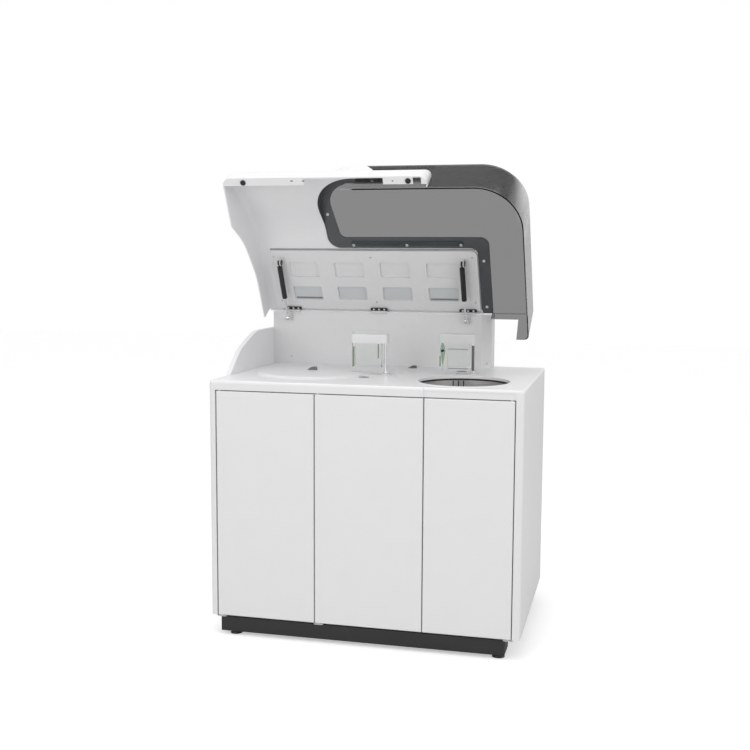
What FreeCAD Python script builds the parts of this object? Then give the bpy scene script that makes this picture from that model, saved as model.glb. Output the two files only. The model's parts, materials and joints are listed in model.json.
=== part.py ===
import FreeCAD, Part
import math
import os
from FreeCAD import Vector

# A floor-standing chemistry analyzer with its lid open.
# Millimetres. X to the right, Y to the back, Z up. The origin is on the floor, under the cabinet's centre.

# Cabinet
cabinet_width = 1000.0
cabinet_depth = 686.0
deck_height = 835.0
panel_bottom_height = 68.0
left_column_width = 20.0
right_column_width = 25.0
column_edge_radius = 9.0
panel_sheet = 2.0
joint_gap = 3.0
cut_overrun = 5.0
seat_gap = 0.3

# Frame tubes and base
tube_size = 30.0
tube_wall = 2.0
frame_inset = 26.0
base_plate_thickness = 2.0
shelf_height = 430.0
shelf_thickness = 2.0
shelf_front_inset = 70.0
partition_thickness = 2.0

# Levelling feet and kick plate
foot_pad_radius = 20.0
foot_pad_height = 10.0
foot_pad_slope = 6.0
foot_stem_radius = 6.0
foot_nut_radius = 11.0
foot_nut_height = 8.0
foot_inset_x = 70.0
kick_left_inset = 28.0
kick_right_inset = 48.0
kick_front_inset = 15.0
kick_bottom_height = 12.0
kick_return_depth = 90.0
kick_sheet = 2.0
kick_top_drop = 8.0

# Doors
door_split_shares = (-0.304, 0.39)
door_top_drop = 34.0
door_thickness = 20.0
door_sheet = 2.0
door_edge_radius = 4.0
door_pin_radius = 3.0
door_pin_inset = 10.0
door_pin_depth = 7.0
door_pin_rise = 6.0
door_pin_root = 16.0
door_pin_block = 18.0
pin_clearance = 0.05
door_bracket_thickness = 4.0
door_bracket_width = 34.0
door_bracket_gap = 1.5
catch_width = 46.0
catch_depth = 8.0
catch_height = 12.0
catch_inset = 30.0

# Fascia under the deck's front edge
fascia_sheet = 2.0
fascia_return_thickness = 3.0
fascia_right_recess = 2.0

# Deck moulding
deck_thickness = 4.0
deck_lip_height = 10.0
deck_edge_radius = 7.0
deck_skirt_wall = 4.0

# Left wing: the outline rises from the deck's front to the rear housing
wing_thickness = 16.0
wing_start_share = -0.5831
wing_mid_share = -0.2915
wing_mid_rise = 78.0
wing_mid_radius = 260.0
wing_crest_share = 0.1749
wing_crest_rise = 131.0
wing_crest_radius = 300.0
wing_rear_rise = 130.0

# Rear housing
housing_right_share = 0.636
housing_front_share = 0.6997
housing_rise = 190.0
housing_wall = 3.0
housing_chamfer = 33.0
housing_chamfer_depth = 20.0

# Lid: the hinge axis, its travel, and the closed shape
hinge_rise = 194.0
lid_travel_deg = 62.0
lid_fall_deg = 2.3
lid_top_above_hinge = 19.0
lid_wall = 4.0
lid_rear_behind_hinge = 6.0
lid_front_overhang = 27.0
lid_bottom_gap = 3.0
lid_shoulder_share = -0.3207
lid_shoulder_radius = 300.0
lid_lip_height = 66.0
lid_lip_radius = 34.0
lid_side_radius = 26.0
lid_flange_depth = 22.0
lid_flange_end_share = -0.452
lid_plate_shares = (0.066, 0.256)
lid_claw_share = 0.364
lid_claw_lean = 12.0
lid_claw_radius = 28.0
lid_rear_wall_drop = 8.0
lid_skirt_end_inset = 10.0

# Smoked window shell of the lid
window_left_front_share = -0.494
window_left_rear_share = -0.468
window_right_share = 0.93
window_front_inset = 13.0
window_branch_share = 0.582
window_rear_share = 0.4533
window_rear_behind_hinge = 6.0
window_rear_radius = 18.0
window_corner_share = 0.3
window_left_radius = 45.0
window_fold_radius = 12.0
window_wall = 4.0
window_rear_flange = 45.0
window_leg_low_share = 0.85
window_leg_top_share = 0.832
window_skirt_rise = 36.0
window_branch_radius = 30.0
bezel_wall = 4.0
bezel_start_share = -0.15
bezel_knee_share = -0.066
bezel_end_share = -0.044
bezel_knee_height = 144.0
bezel_knee_radius = 24.0
bezel_sweep_radius = 24.0

# Clamp frame round the window
clamp_front_band = 50.0
clamp_left_band_front = 24.4
clamp_left_band_rear = 49.5
clamp_rear_band = 35.0
clamp_thickness = 4.0
clamp_front_radius = 72.0
clamp_inner_radius = 22.0
clamp_lap = 6.0
clamp_branch_band = 34.0
clamp_end_from_hinge = 8.0
clamp_front_end_share = 0.066

# Sheet-metal panel inside the lid
inner_panel_left_share = -0.91
inner_panel_depth = 10.0
inner_panel_sheet = 1.5
inner_panel_rear_from_hinge = 8.0
inner_panel_front_share = 0.4273
pocket_columns = 4
pocket_width_share = 0.212
pocket_depth = 7.0
pocket_radius = 5.0
pocket_place_shares = (-0.678, 0.312)
pocket_rear_row_shares = (0.0796, 0.1747)
pocket_front_row_shares = (0.2422, 0.346)

# Rubber stops
bumper_place_shares = (-0.858, 0.226)
bumper_radius = 9.0

# Lid hinges
hinge_place_shares = (-0.814, -0.17, 0.472)
hinge_width = 54.0
hinge_knuckle_radius = 5.0
hinge_pin_radius = 2.5
hinge_leaf_thickness = 3.0
hinge_leaf_length = 11.0
hinge_knuckles = 3
hinge_knuckle_gap = 0.4

# Gas struts
strut_place_shares = (-0.84, 0.464)
strut_lower_inset = 24.0
strut_lower_rise = 168.0
strut_upper_share = 0.3633
strut_upper_drop = 15.0
strut_tube_radius = 9.0
strut_tube_wall = 1.5
strut_tube_share = 0.56
strut_rod_radius = 4.0
strut_rod_share = 0.479
strut_eye_radius = 8.0
strut_eye_width = 7.0
strut_stud_radius = 3.5
strut_top_fitting = 16.0
strut_gland_length = 10.0
strut_free_play = 4.2
strut_foot_plate = 3.0
strut_foot_width = 26.0
strut_plate_drop = 1.0
strut_piston_gap = 0.5
strut_ear_gap = 1.0
strut_washer_radius = 10.0
strut_washer_thickness = 2.0
strut_rim_share = 0.9

# Reagent carousel
carousel_share = 0.58
carousel_inset = 175.0
rim_share = 0.308
rim_width = 9.0
rim_height = 2.5
rim_neck_width = 3.0
rim_depth = 12.0
tub_wall = 1.5
tub_depth = 150.0
rotor_clearance = 5.0
rotor_top_drop = 62.0
rotor_plate_thickness = 6.0
rotor_hub_radius = 22.0
rotor_shaft_radius = 8.0
rotor_knob_radius = 16.0
rotor_knob_height = 24.0
bottle_count = 18
bottle_ring_share = 0.79
bottle_share = 0.112
bottle_height = 66.0
bottle_neck_share = 0.71
bottle_cap_height = 12.0
bottle_wall = 1.2

# Reaction carousel under the left of the deck
reaction_centre_share = -0.2041
reaction_cover_share = 0.36
reaction_cover_height = 5.0
reaction_cover_slope = 14.0
reaction_cover_wall = 2.5
reaction_bath_share = 0.33
reaction_bath_depth = 62.0
reaction_bath_wall = 2.0
reaction_bath_flange = 5.0
reaction_ring_share = 0.3
reaction_disc_share = 0.314
reaction_disc_thickness = 6.0
reaction_disc_drop = 14.0
cuvette_count = 60
cuvette_size = 6.0
cuvette_height = 34.0
cuvette_wall = 0.8
reaction_shaft_radius = 8.0
reaction_hub_radius = 26.0
aspiration_slot_length = 30.0
aspiration_slot_width = 14.0
slot_end_share = 0.49
cover_grip_offset = (-11.3, 48.0)
cover_grip_length = 26.0
cover_grip_width = 12.0

# Drive motors under the carousels
motor_size = 57.0
motor_height = 62.0
motor_plate_thickness = 5.0
motor_plate_margin = 18.0
motor_bearing_gap = 0.05
motor_bearing_radius = 15.0
motor_bearing_length = 22.0

# Probe arms
arm_shaft_radius = 4.5
arm_sleeve_radius = 9.0
arm_guide_radius = 13.0
arm_guide_flange_radius = 19.0
arm_guide_flange_height = 3.0
arm_guide_length = 190.0
arm_lift_travel = 22.0
arm_running_gap = 0.05
arm_cover_width = 34.0
arm_cover_height = 30.0
arm_cover_wall = 2.0
arm_cover_radius = 8.0
arm_cover_rise = 106.0
arm_cover_share = 0.248
arm_shaft_from_end = 9.0
needle_radius = 1.2
needle_from_end = 11.0
needle_tip_rise = 8.0
guard_thickness = 3.0
guard_inset = 3.0
guard_bottom_rise = 26.0
guard_depth = 26.0
sample_arm_share = 0.016
sample_arm_offset = 20.0
reagent_arm_share = 0.574
reagent_arm_offset = 203.0
arm_collar_height = 6.0
arm_collar_radius = 8.0
belt_clamp_length = 28.0
belt_clamp_width = 16.0
belt_clamp_height = 14.0

# Wells in the deck
arm_plate_length = 76.0
arm_plate_width = 46.0
arm_plate_height = 2.0
arm_plate_radius = 12.0
arm_plate_offset = 18.0
well_radius = 13.0
wash_turn_deg = 60.0
well_inner_radius = 10.0
well_depth = 34.0
well_flange_radius = 17.0
well_flange_height = 1.5
rear_well_share = 0.096
rear_well_inset = 44.0

# Service units in the cabinet
tank_wall = 3.0
tank_radius = 22.0
tank_width_share = 0.236
tank_depth = 300.0
tank_height = 230.0
tank_neck_radius = 24.0
tank_cap_radius = 28.0
tank_cap_height = 20.0
tank_gap = 14.0
power_unit_share = 0.43
power_unit_size = (300.0, 120.0)
control_unit_share = 0.5
control_unit_size = (320.0, 90.0)
cooling_unit_share = 0.46
cooling_unit_size = (300.0, 200.0)
syringe_unit_share = 0.44
syringe_unit_size = (110.0, 210.0)
unit_sheet = 1.5
unit_slot_count = 8
unit_slot_width = 5.0
syringe_count = 2
syringe_radius = 8.0
syringe_length = 90.0
syringe_rod_radius = 3.0

# Rear side
rear_cover_sheet = 1.5
rear_recess = 26.0
vent_columns = 2
vent_rows = 12
vent_slot_length = 150.0
vent_slot_width = 5.0
vent_pitch = 13.0
vent_top_drop = 130.0
inlet_width = 62.0
inlet_height = 50.0
inlet_depth = 30.0
inlet_flange = 2.5
inlet_share = -0.76
inlet_z = 190.0
socket_width = 24.0
socket_height = 17.0
socket_depth = 18.0
socket_blade_width = 2.0
socket_blade_height = 4.0
socket_blade_length = 14.0
rocker_width = 12.0
rocker_height = 19.0
rocker_rise = 3.0
rocker_depth = 7.0
rocker_well_depth = 12.0
rocker_pin_radius = 1.5
rocker_gap = 0.4
fitting_radius = 5.0
fitting_length = 22.0
fitting_nut_radius = 11.0
fitting_nut_length = 8.0
fitting_bore_radius = 3.0
fitting_count = 3
fitting_pitch = 45.0
fitting_share = 0.68
fitting_z = 190.0

# Places that the sizes above fix
half_width = cabinet_width / 2
half_depth = cabinet_depth / 2
front_y = -half_depth
back_y = half_depth
housing_front_y = housing_front_share * half_depth
housing_right_x = housing_right_share * half_width
cover_back_y = back_y - rear_recess
door_top = deck_height - door_top_drop
door_left_x = -half_width + left_column_width
door_right_x = half_width - right_column_width
door_back_y = front_y + door_thickness
hinge_z = deck_height + hinge_rise
hinge_y = housing_front_y - hinge_knuckle_radius
lid_depth = hinge_y - front_y
door_split_left, door_split_right = [share * half_width for share in door_split_shares]
wing_start_y = wing_start_share * half_depth
wing_mid_y = wing_mid_share * half_depth
wing_crest_y = wing_crest_share * half_depth
lid_shoulder_y = lid_shoulder_share * half_depth
lid_flange_end_x = lid_flange_end_share * half_width
lid_plate_left_x, lid_plate_right_x = [share * half_width for share in lid_plate_shares]
lid_claw_x = lid_claw_share * half_width
window_front_y = front_y + window_front_inset
window_rear_y = hinge_y - window_rear_share * lid_depth
window_back_y = hinge_y + window_rear_behind_hinge
window_right_x = window_right_share * half_width
window_branch_x = window_branch_share * half_width
window_corner_radius = window_corner_share * half_width
window_leg_low_x = window_leg_low_share * half_width
window_leg_top_x = window_leg_top_share * half_width
bezel_start_x = bezel_start_share * half_width
bezel_knee_x = bezel_knee_share * half_width
bezel_end_x = bezel_end_share * half_width
clamp_front_end_x = clamp_front_end_share * half_width
inner_panel_left_x = inner_panel_left_share * half_width
pocket_width = pocket_width_share * half_width
bumper_places_x = [share * half_width for share in bumper_place_shares]
hinge_places_x = [share * half_width for share in hinge_place_shares]
strut_left_x, strut_right_x = [share * half_width for share in strut_place_shares]
strut_lower_y = housing_front_y - strut_lower_inset
strut_upper_from_hinge = strut_upper_share * lid_depth
post_front = front_y + frame_inset
post_back = cover_back_y - rear_cover_sheet - seat_gap
post_left = -half_width + left_column_width + seat_gap
post_right = half_width - right_column_width - seat_gap
deck_under = deck_height - deck_thickness
deck_lip_bottom = deck_height - deck_lip_height
rail_bottom = panel_bottom_height - kick_top_drop
rail_top = deck_under - tube_size
base_top = rail_bottom + tube_size + base_plate_thickness
fascia_bottom = door_top + joint_gap
carousel_x = carousel_share * half_width
carousel_y = front_y + carousel_inset
rim_radius = rim_share * half_width
rim_inner_radius = rim_radius - rim_width
rim_neck_radius = rim_inner_radius + rim_neck_width
rotor_radius = rim_inner_radius - tub_wall - rotor_clearance
bottle_radius = bottle_share * rotor_radius
reaction_y = reaction_centre_share * half_depth
reaction_cover_radius = reaction_cover_share * half_width
reaction_bath_radius = reaction_bath_share * half_width
reaction_ring_radius = reaction_ring_share * half_width
reaction_disc_radius = reaction_disc_share * half_width
sample_arm_x = sample_arm_share * half_width
sample_arm_y = reaction_y + sample_arm_offset
reagent_arm_x = reagent_arm_share * half_width
reagent_arm_y = carousel_y + reagent_arm_offset
arm_cover_length = arm_cover_share * half_width
rear_well_x = rear_well_share * half_width
rear_well_y = housing_front_y - rear_well_inset
inlet_x = inlet_share * half_width
fitting_x = fitting_share * half_width
needle_reach = arm_cover_length - arm_shaft_from_end - needle_from_end
reaction_x = sample_arm_x - needle_reach - math.sqrt(reaction_ring_radius ** 2 - (reaction_y - sample_arm_y) ** 2)


def block(x, y, z):
    """A box between two values along each axis."""
    return Part.makeBox(x[1] - x[0], y[1] - y[0], z[1] - z[0], Vector(x[0], y[0], z[0]))


def rod(radius, start, axis, length):
    return Part.makeCylinder(radius, length, Vector(*start), Vector(*axis))


def tube(outer, inner, start, axis, length):
    return rod(outer, start, axis, length).cut(rod(inner, start, axis, length))


def union(shapes):
    """One solid from touching or overlapping shapes."""
    first, rest = shapes[0], shapes[1:]
    return first.multiFuse(rest).removeSplitter() if rest else first


def group(shapes):
    """Separate solids in one node."""
    return Part.makeCompound(shapes)


PLANES = {
    "plan": (lambda u, v: Vector(u, v, 0), Vector(0, 0, 1)),
    "side": (lambda u, v: Vector(0, u, v), Vector(1, 0, 0)),
    "front": (lambda u, v: Vector(u, 0, v), Vector(0, 1, 0)),
}


def outline(corners, plane):
    """A face inside corners (u, v, radius), each corner rounded by its radius."""
    to_space = PLANES[plane][0]
    ends = []
    edges = []
    for index, (u, v, radius) in enumerate(corners):
        here = Vector(u, v, 0)
        before = corners[index - 1]
        after = corners[(index + 1) % len(corners)]
        back = (Vector(before[0], before[1], 0) - here).normalize()
        ahead = (Vector(after[0], after[1], 0) - here).normalize()
        half_angle = back.getAngle(ahead) / 2
        setback = radius / math.tan(half_angle)
        start = here + back * setback
        end = here + ahead * setback
        ends.append((start, end))
        if radius > 0:
            middle = here + (back + ahead).normalize() * (radius / math.sin(half_angle) - radius)
            edges.append(Part.Arc(*[to_space(p.x, p.y) for p in (start, middle, end)]).toShape())
    for index in range(len(ends)):
        start = ends[index - 1][1]
        end = ends[index][0]
        if (end - start).Length > 0:
            edges.append(Part.makeLine(to_space(start.x, start.y), to_space(end.x, end.y)))
    return Part.Face(Part.Wire(Part.__sortEdges__(edges)))


def prism(corners, plane, span):
    """The outline, extruded from span[0] to span[1] along the plane's normal."""
    normal = PLANES[plane][1]
    face = outline(corners, plane)
    face.translate(normal * span[0])
    return face.extrude(normal * (span[1] - span[0]))


def rectangle(u, v, radius):
    """Corners of a rectangle between two values each way, rounded alike."""
    return [(u[0], v[0], radius), (u[1], v[0], radius), (u[1], v[1], radius), (u[0], v[1], radius)]


def around(centre, radius, angle_deg):
    angle = math.radians(angle_deg)
    return Vector(centre[0] + radius * math.cos(angle), centre[1] + radius * math.sin(angle), 0)


def square_tube(x, y, z, along):
    """A hollow square tube; along is the index of its long axis."""
    bore = []
    for axis, span in enumerate((x, y, z)):
        if axis == along:
            bore.append((span[0] - cut_overrun, span[1] + cut_overrun))
        else:
            bore.append((span[0] + tube_wall, span[1] - tube_wall))
    return block(x, y, z).cut(block(*bore))


def make_frame():
    """Four posts, with rails between them at the floor and under the deck."""
    left = (post_left, post_left + tube_size)
    right = (post_right - tube_size, post_right)
    front = (post_front, post_front + tube_size)
    back = (post_back - tube_size, post_back)
    solids = []
    for x in (left, right):
        for y in (front, back):
            solids.append(square_tube(x, y, (rail_bottom, deck_under), 2))
        for z in (rail_bottom, rail_top):
            solids.append(square_tube(x, (front[1], back[0]), (z, z + tube_size), 1))
    across = (left[1], right[0])
    solids.append(square_tube(across, front, (rail_bottom, rail_bottom + tube_size), 0))
    solids.append(square_tube(across, back, (rail_bottom, rail_bottom + tube_size), 0))
    solids.append(square_tube(across, back, (rail_top, deck_under), 0))
    header_y = (front_y + fascia_right_recess + fascia_sheet, post_front)
    header_z = (fascia_bottom + fascia_return_thickness, deck_under)
    solids.append(square_tube((left[0], right[1]), header_y, header_z, 0))
    return group(solids)


def make_base_plate():
    """Tray on the lower rails, cut round the posts."""
    z = (rail_bottom + tube_size, base_top)
    plate = block((post_left, post_right), (post_front, post_back), z)
    cuts = []
    size = tube_size + seat_gap
    for x in ((post_left - cut_overrun, post_left + size), (post_right - size, post_right + cut_overrun)):
        for y in ((post_front - cut_overrun, post_front + size), (post_back - size, post_back + cut_overrun)):
            cuts.append(block(x, y, (z[0] - cut_overrun, z[1] + cut_overrun)))
    return plate.cut(cuts)


def foot_places_y():
    return (post_front + tube_size / 2, post_back - foot_pad_radius)


def make_feet():
    """Screw feet under the front and rear lower rails."""
    solids = []
    for x in (-half_width + foot_inset_x, half_width - foot_inset_x):
        for y in foot_places_y():
            top_radius = foot_pad_radius - foot_pad_slope
            pad = Part.makeCone(foot_pad_radius, top_radius, foot_pad_height, Vector(x, y, 0))
            stem = rod(foot_stem_radius, (x, y, 0), (0, 0, 1), rail_bottom)
            nut = rod(foot_nut_radius, (x, y, rail_bottom - foot_nut_height), (0, 0, 1), foot_nut_height)
            solids.append(union([pad, stem, nut]))
    return group(solids)


def make_kick_plate():
    """Dark plinth across the front with a return at each end and a top flange under the rail."""
    x = (-half_width + kick_left_inset, half_width - kick_right_inset)
    y = (front_y + kick_front_inset, front_y + kick_front_inset + kick_return_depth)
    z = (kick_bottom_height, rail_bottom)
    outer = block(x, y, z)
    inner = block((x[0] + kick_sheet, x[1] - kick_sheet), (y[0] + kick_sheet, y[1] + cut_overrun),
                  (z[0] - cut_overrun, z[1] - kick_sheet))
    behind_rail = block((x[0] + kick_sheet, x[1] - kick_sheet), (post_front + tube_size, y[1] + cut_overrun),
                        (z[0] - cut_overrun, z[1] + cut_overrun))
    holes = []
    for foot_x in (-half_width + foot_inset_x, half_width - foot_inset_x):
        holes.append(rod(foot_nut_radius + seat_gap, (foot_x, foot_places_y()[0], z[0]), (0, 0, 1), z[1]))
    return outer.cut([inner, behind_rail] + holes)


def side_panel(side):
    """A folded sheet panel, open to the inside, with rounded upright edges."""
    width = left_column_width if side < 0 else right_column_width
    outer_x = side * half_width
    inner_x = side * (half_width - width)
    x = (min(outer_x, inner_x), max(outer_x, inner_x))
    z = (panel_bottom_height, deck_lip_bottom)
    corners = [(outer_x, front_y, column_edge_radius), (inner_x, front_y, 0),
               (inner_x, back_y, 0), (outer_x, back_y, column_edge_radius)]
    panel = prism(corners, "plan", z)
    pocket_x = (x[0] + panel_sheet, x[1] + cut_overrun) if side < 0 else (x[0] - cut_overrun, x[1] - panel_sheet)
    pocket = block(pocket_x, (front_y + column_edge_radius, back_y - column_edge_radius),
                   (z[0] + panel_sheet, z[1] - panel_sheet))
    return panel.cut(pocket)


def fitting_places():
    return [(fitting_x, fitting_z + fitting_pitch * index) for index in range(fitting_count)]


def make_rear_cover():
    """Sheet across the back with two banks of vent slots and the holes for inlet and hose fittings."""
    x = (door_left_x, door_right_x)
    through = (cover_back_y - rear_cover_sheet - cut_overrun, cover_back_y + cut_overrun)
    cover = block(x, (cover_back_y - rear_cover_sheet, cover_back_y), (panel_bottom_height, deck_under))
    cuts = []
    column_pitch = (x[1] - x[0]) / (vent_columns + 1)
    for column in range(vent_columns):
        middle = x[0] + column_pitch * (column + 1)
        for row in range(vent_rows):
            top = deck_lip_bottom - vent_top_drop - vent_pitch * row
            slot_x = (middle - vent_slot_length / 2, middle + vent_slot_length / 2)
            cuts.append(block(slot_x, through, (top - vent_slot_width, top)))
    half_x = inlet_width / 2 - inlet_flange
    half_z = inlet_height / 2 - inlet_flange
    cuts.append(block((inlet_x - half_x, inlet_x + half_x), through, (inlet_z - half_z, inlet_z + half_z)))
    for hole_x, hole_z in fitting_places():
        cuts.append(rod(fitting_radius, (hole_x, through[0], hole_z), (0, 1, 0), through[1] - through[0]))
    return cover.cut(cuts)


def door_spans():
    """Left and right edge of each door, and the side that its pins are on."""
    half_gap = joint_gap / 2
    return {
        "door_left": ((door_left_x + joint_gap, door_split_left - half_gap), -1),
        "door_middle": ((door_split_left + half_gap, door_split_right - half_gap), -1),
        "door_right": ((door_split_right + half_gap, door_right_x - joint_gap), 1),
    }


def door_pin_place(name):
    span, side = door_spans()[name]
    x = span[0] + door_pin_inset if side < 0 else span[1] - door_pin_inset
    return x, front_y + door_pin_depth


def make_door(name):
    """A sheet pan with rounded front edges, a flange round its back and a welded pivot pin at each end."""
    span, side = door_spans()[name]
    y = (front_y, door_back_y)
    z = (panel_bottom_height, door_top)
    pan = block(span, y, z)
    front_edges = [edge for edge in pan.Edges
                   if all(abs(vertex.Y - front_y) < seat_gap for vertex in edge.Vertexes)]
    pan = pan.makeFillet(door_edge_radius, front_edges)
    pocket = block((span[0] + door_sheet, span[1] - door_sheet), (y[0] + door_sheet, y[1] - door_sheet),
                   (z[0] + door_sheet, z[1] - door_sheet))
    mouth = block((span[0] + catch_height, span[1] - catch_height), (y[0] + door_sheet, y[1] + cut_overrun),
                  (z[0] + catch_height, z[1] - catch_height))
    solids = [pan.cut([pocket, mouth])]
    x, pin_y = door_pin_place(name)
    seat_x = (x - door_pin_block / 2, x + door_pin_block / 2)
    seat_y = (y[0] + door_sheet, pin_y + door_pin_block / 2)
    for seat_low, pin_low in ((z[0], z[0] - door_pin_rise), (z[1] - door_pin_root, z[1] - door_pin_root)):
        solids.append(block(seat_x, seat_y, (seat_low, seat_low + door_pin_root)))
        solids.append(rod(door_pin_radius, (x, pin_y, pin_low), (0, 0, 1), door_pin_root + door_pin_rise))
    return union(solids)


def make_fascia():
    """Two channels behind the deck's edge; their lower returns hold the doors' top pins."""
    pieces = []
    spans = ((door_left_x, door_split_right, 0), (door_split_right, door_right_x, fascia_right_recess))
    for left, right, recess in spans:
        y = (front_y + recess, post_front)
        outer = block((left, right), y, (fascia_bottom, deck_lip_bottom))
        channel = block((left - cut_overrun, right + cut_overrun), (y[0] + fascia_sheet, y[1] + cut_overrun),
                        (fascia_bottom + fascia_return_thickness, deck_lip_bottom + cut_overrun))
        piece = outer.cut(channel)
        for name in door_spans():
            x, pin_y = door_pin_place(name)
            if left < x < right:
                hole = rod(door_pin_radius + pin_clearance, (x, pin_y, fascia_bottom - cut_overrun), (0, 0, 1),
                           fascia_return_thickness + 2 * cut_overrun)
                piece = piece.cut(hole)
        pieces.append(piece)
    return group(pieces)


def make_door_brackets():
    """Ears on the lower rail that carry the doors' bottom pins."""
    top = panel_bottom_height - door_bracket_gap
    solids = []
    for name in door_spans():
        x, pin_y = door_pin_place(name)
        half = door_bracket_width / 2
        nose = pin_y - door_pin_depth + door_pin_radius
        shape = [(x - half, post_front, 0), (x - half, nose, half / 2), (x + half, nose, half / 2), (x + half, post_front, 0)]
        ear = prism(shape, "plan", (top - door_bracket_thickness, top))
        hole = rod(door_pin_radius + pin_clearance, (x, pin_y, top - door_bracket_thickness - cut_overrun), (0, 0, 1),
                   door_bracket_thickness + 2 * cut_overrun)
        solids.append(ear.cut(hole))
    return group(solids)


def make_door_catches():
    """Magnetic catches under the header, one behind the free edge of each door."""
    solids = []
    for span, side in door_spans().values():
        edge = span[1] - catch_inset if side < 0 else span[0] + catch_inset
        x = (edge - catch_width / 2, edge + catch_width / 2)
        magnet = block(x, (door_back_y + seat_gap, post_front), (door_top - catch_height, door_top - door_sheet))
        carrier = block(x, (post_front, post_front + catch_depth), (door_top - catch_height, header_bottom() + catch_height))
        solids.append(union([magnet, carrier]))
    return group(solids)


def header_bottom():
    return fascia_bottom + fascia_return_thickness


def make_deck():
    """Moulded deck with a turned-down lip and the holes for carousels, arms and wells."""
    x = (-half_width, half_width)
    y = (front_y, back_y)
    outer = prism(rectangle(x, y, column_edge_radius), "plan", (deck_lip_bottom, deck_height))
    top_edges = [edge for edge in outer.Edges
                 if all(abs(vertex.Z - deck_height) < seat_gap for vertex in edge.Vertexes)]
    outer = outer.makeFillet(deck_edge_radius, top_edges)
    wall = deck_skirt_wall
    inner = prism(rectangle((x[0] + wall, x[1] - wall), (y[0] + wall, y[1] - wall), column_edge_radius - wall),
                  "plan", (deck_lip_bottom - cut_overrun, deck_under))
    holes = [deck_hole(carousel_x, carousel_y, rim_neck_radius),
             deck_hole(reaction_x, reaction_y, reaction_bath_radius),
             deck_hole(sample_arm_x, sample_arm_y, arm_guide_radius),
             deck_hole(reagent_arm_x, reagent_arm_y, arm_guide_radius)]
    for well_x, well_y in well_places():
        holes.append(deck_hole(well_x, well_y, well_radius))
    return outer.cut([inner] + holes)


def deck_hole(x, y, radius):
    return rod(radius, (x, y, deck_under - cut_overrun), (0, 0, 1), deck_thickness + 2 * cut_overrun)


def wing_corners(inset):
    """The wing's side outline, lowered by inset at its top edge."""
    base = deck_height - inset
    return [(wing_start_y, base, 0), (wing_mid_y, base + wing_mid_rise, wing_mid_radius),
            (wing_crest_y, base + wing_crest_rise, wing_crest_radius), (back_y, base + wing_rear_rise, 0)]


def make_wing():
    """Upright fin at the left edge of the deck, which the closed lid's skirt follows."""
    corners = wing_corners(0) + [(back_y, deck_height, 0)]
    return prism(corners, "side", (-half_width, -half_width + wing_thickness))


def make_housing():
    """Rear housing that carries the lid, open underneath, with its front right corner cut off."""
    left = -half_width + wing_thickness
    right = housing_right_x
    z = (deck_height, deck_height + housing_rise)
    corners = [(left, housing_front_y, 0), (right - housing_chamfer, housing_front_y, 0),
               (right, housing_front_y + housing_chamfer_depth, 0), (right, back_y, 0), (left, back_y, 0)]
    outer = prism(corners, "plan", z)
    wall = housing_wall
    inner_corners = [(left + wall, housing_front_y + wall, 0),
                     (right - housing_chamfer - wall / 2, housing_front_y + wall, 0),
                     (right - wall, housing_front_y + housing_chamfer_depth + wall, 0),
                     (right - wall, back_y - wall, 0), (left + wall, back_y - wall, 0)]
    inner = prism(inner_corners, "plan", (z[0] - cut_overrun, z[1] - wall))
    return outer.cut(inner)


def turned(shape, angle_deg):
    """The shape turned about the lid hinge; a positive angle lifts the lid's front."""
    copy = shape.copy()
    copy.rotate(Vector(0, hinge_y, hinge_z), Vector(1, 0, 0), -angle_deg)
    return copy


def opened(shape):
    """From the closed lid's place to the open one."""
    return turned(shape, lid_travel_deg)


def laid(shape):
    """From a level lid plane to the closed lid's, which falls a little to the front."""
    return turned(shape, -lid_fall_deg)


def from_hinge(near, far):
    """The level Y span between two distances in front of the hinge."""
    return (hinge_y - far, hinge_y - near)


def above_hinge(low, high):
    return (hinge_z + low, hinge_z + high)


def lid_top_z(y):
    """Height of the closed lid's flat top over y."""
    fall = math.radians(lid_fall_deg)
    return hinge_z + lid_top_above_hinge / math.cos(fall) - (hinge_y - y) * math.tan(fall)


def lid_profile(inset):
    """Side profile of the closed lid, drawn in by the inset."""
    front = front_y - lid_front_overhang
    rear = hinge_y + lid_rear_behind_hinge
    bottom = deck_height + lid_bottom_gap
    corners = [(rear, bottom, 0), (rear, lid_top_z(rear), 0),
               (lid_shoulder_y, lid_top_z(lid_shoulder_y), lid_shoulder_radius),
               (front, deck_height + lid_lip_height, lid_lip_radius), (front, bottom, 0)]
    face = outline(corners, "side")
    return face.makeOffset2D(-inset) if inset else face


def lid_body(inset, left, right):
    """Solid inside the profile between two X values, with its left end rounded."""
    face = lid_profile(inset)
    face.translate(Vector(left, 0, 0))
    solid = face.extrude(Vector(right - left, 0, 0))
    bottom = deck_height + lid_bottom_gap + inset
    rear = hinge_y + lid_rear_behind_hinge - inset
    edges = []
    for edge in solid.Edges:
        at_left = all(abs(vertex.X - left) < seat_gap for vertex in edge.Vertexes)
        at_bottom = all(abs(vertex.Z - bottom) < seat_gap for vertex in edge.Vertexes)
        at_rear = all(abs(vertex.Y - rear) < seat_gap for vertex in edge.Vertexes)
        if at_left and not at_bottom and not at_rear:
            edges.append(edge)
    return solid.makeFillet(lid_side_radius - inset, edges)


def lid_plan(inset):
    """Plan of the lid's moulding, whose lip ends in a rounded hook against the window's skirt."""
    far = cut_overrun + lid_wall - inset
    front = front_y - lid_front_overhang + inset
    reach = math.hypot(lid_claw_lean, window_front_y - front) / (window_front_y - front) * inset
    corners = [(-half_width - far, front, 0), (lid_claw_x - reach, front, lid_claw_radius - inset),
               (lid_claw_x - lid_claw_lean - reach, window_front_y, 0), (window_branch_x + far, window_front_y, 0),
               (window_branch_x + far, back_y + far, 0), (-half_width - far, back_y + far, 0)]
    return prism(corners, "plan", (0, deck_height + cabinet_depth))


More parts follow.
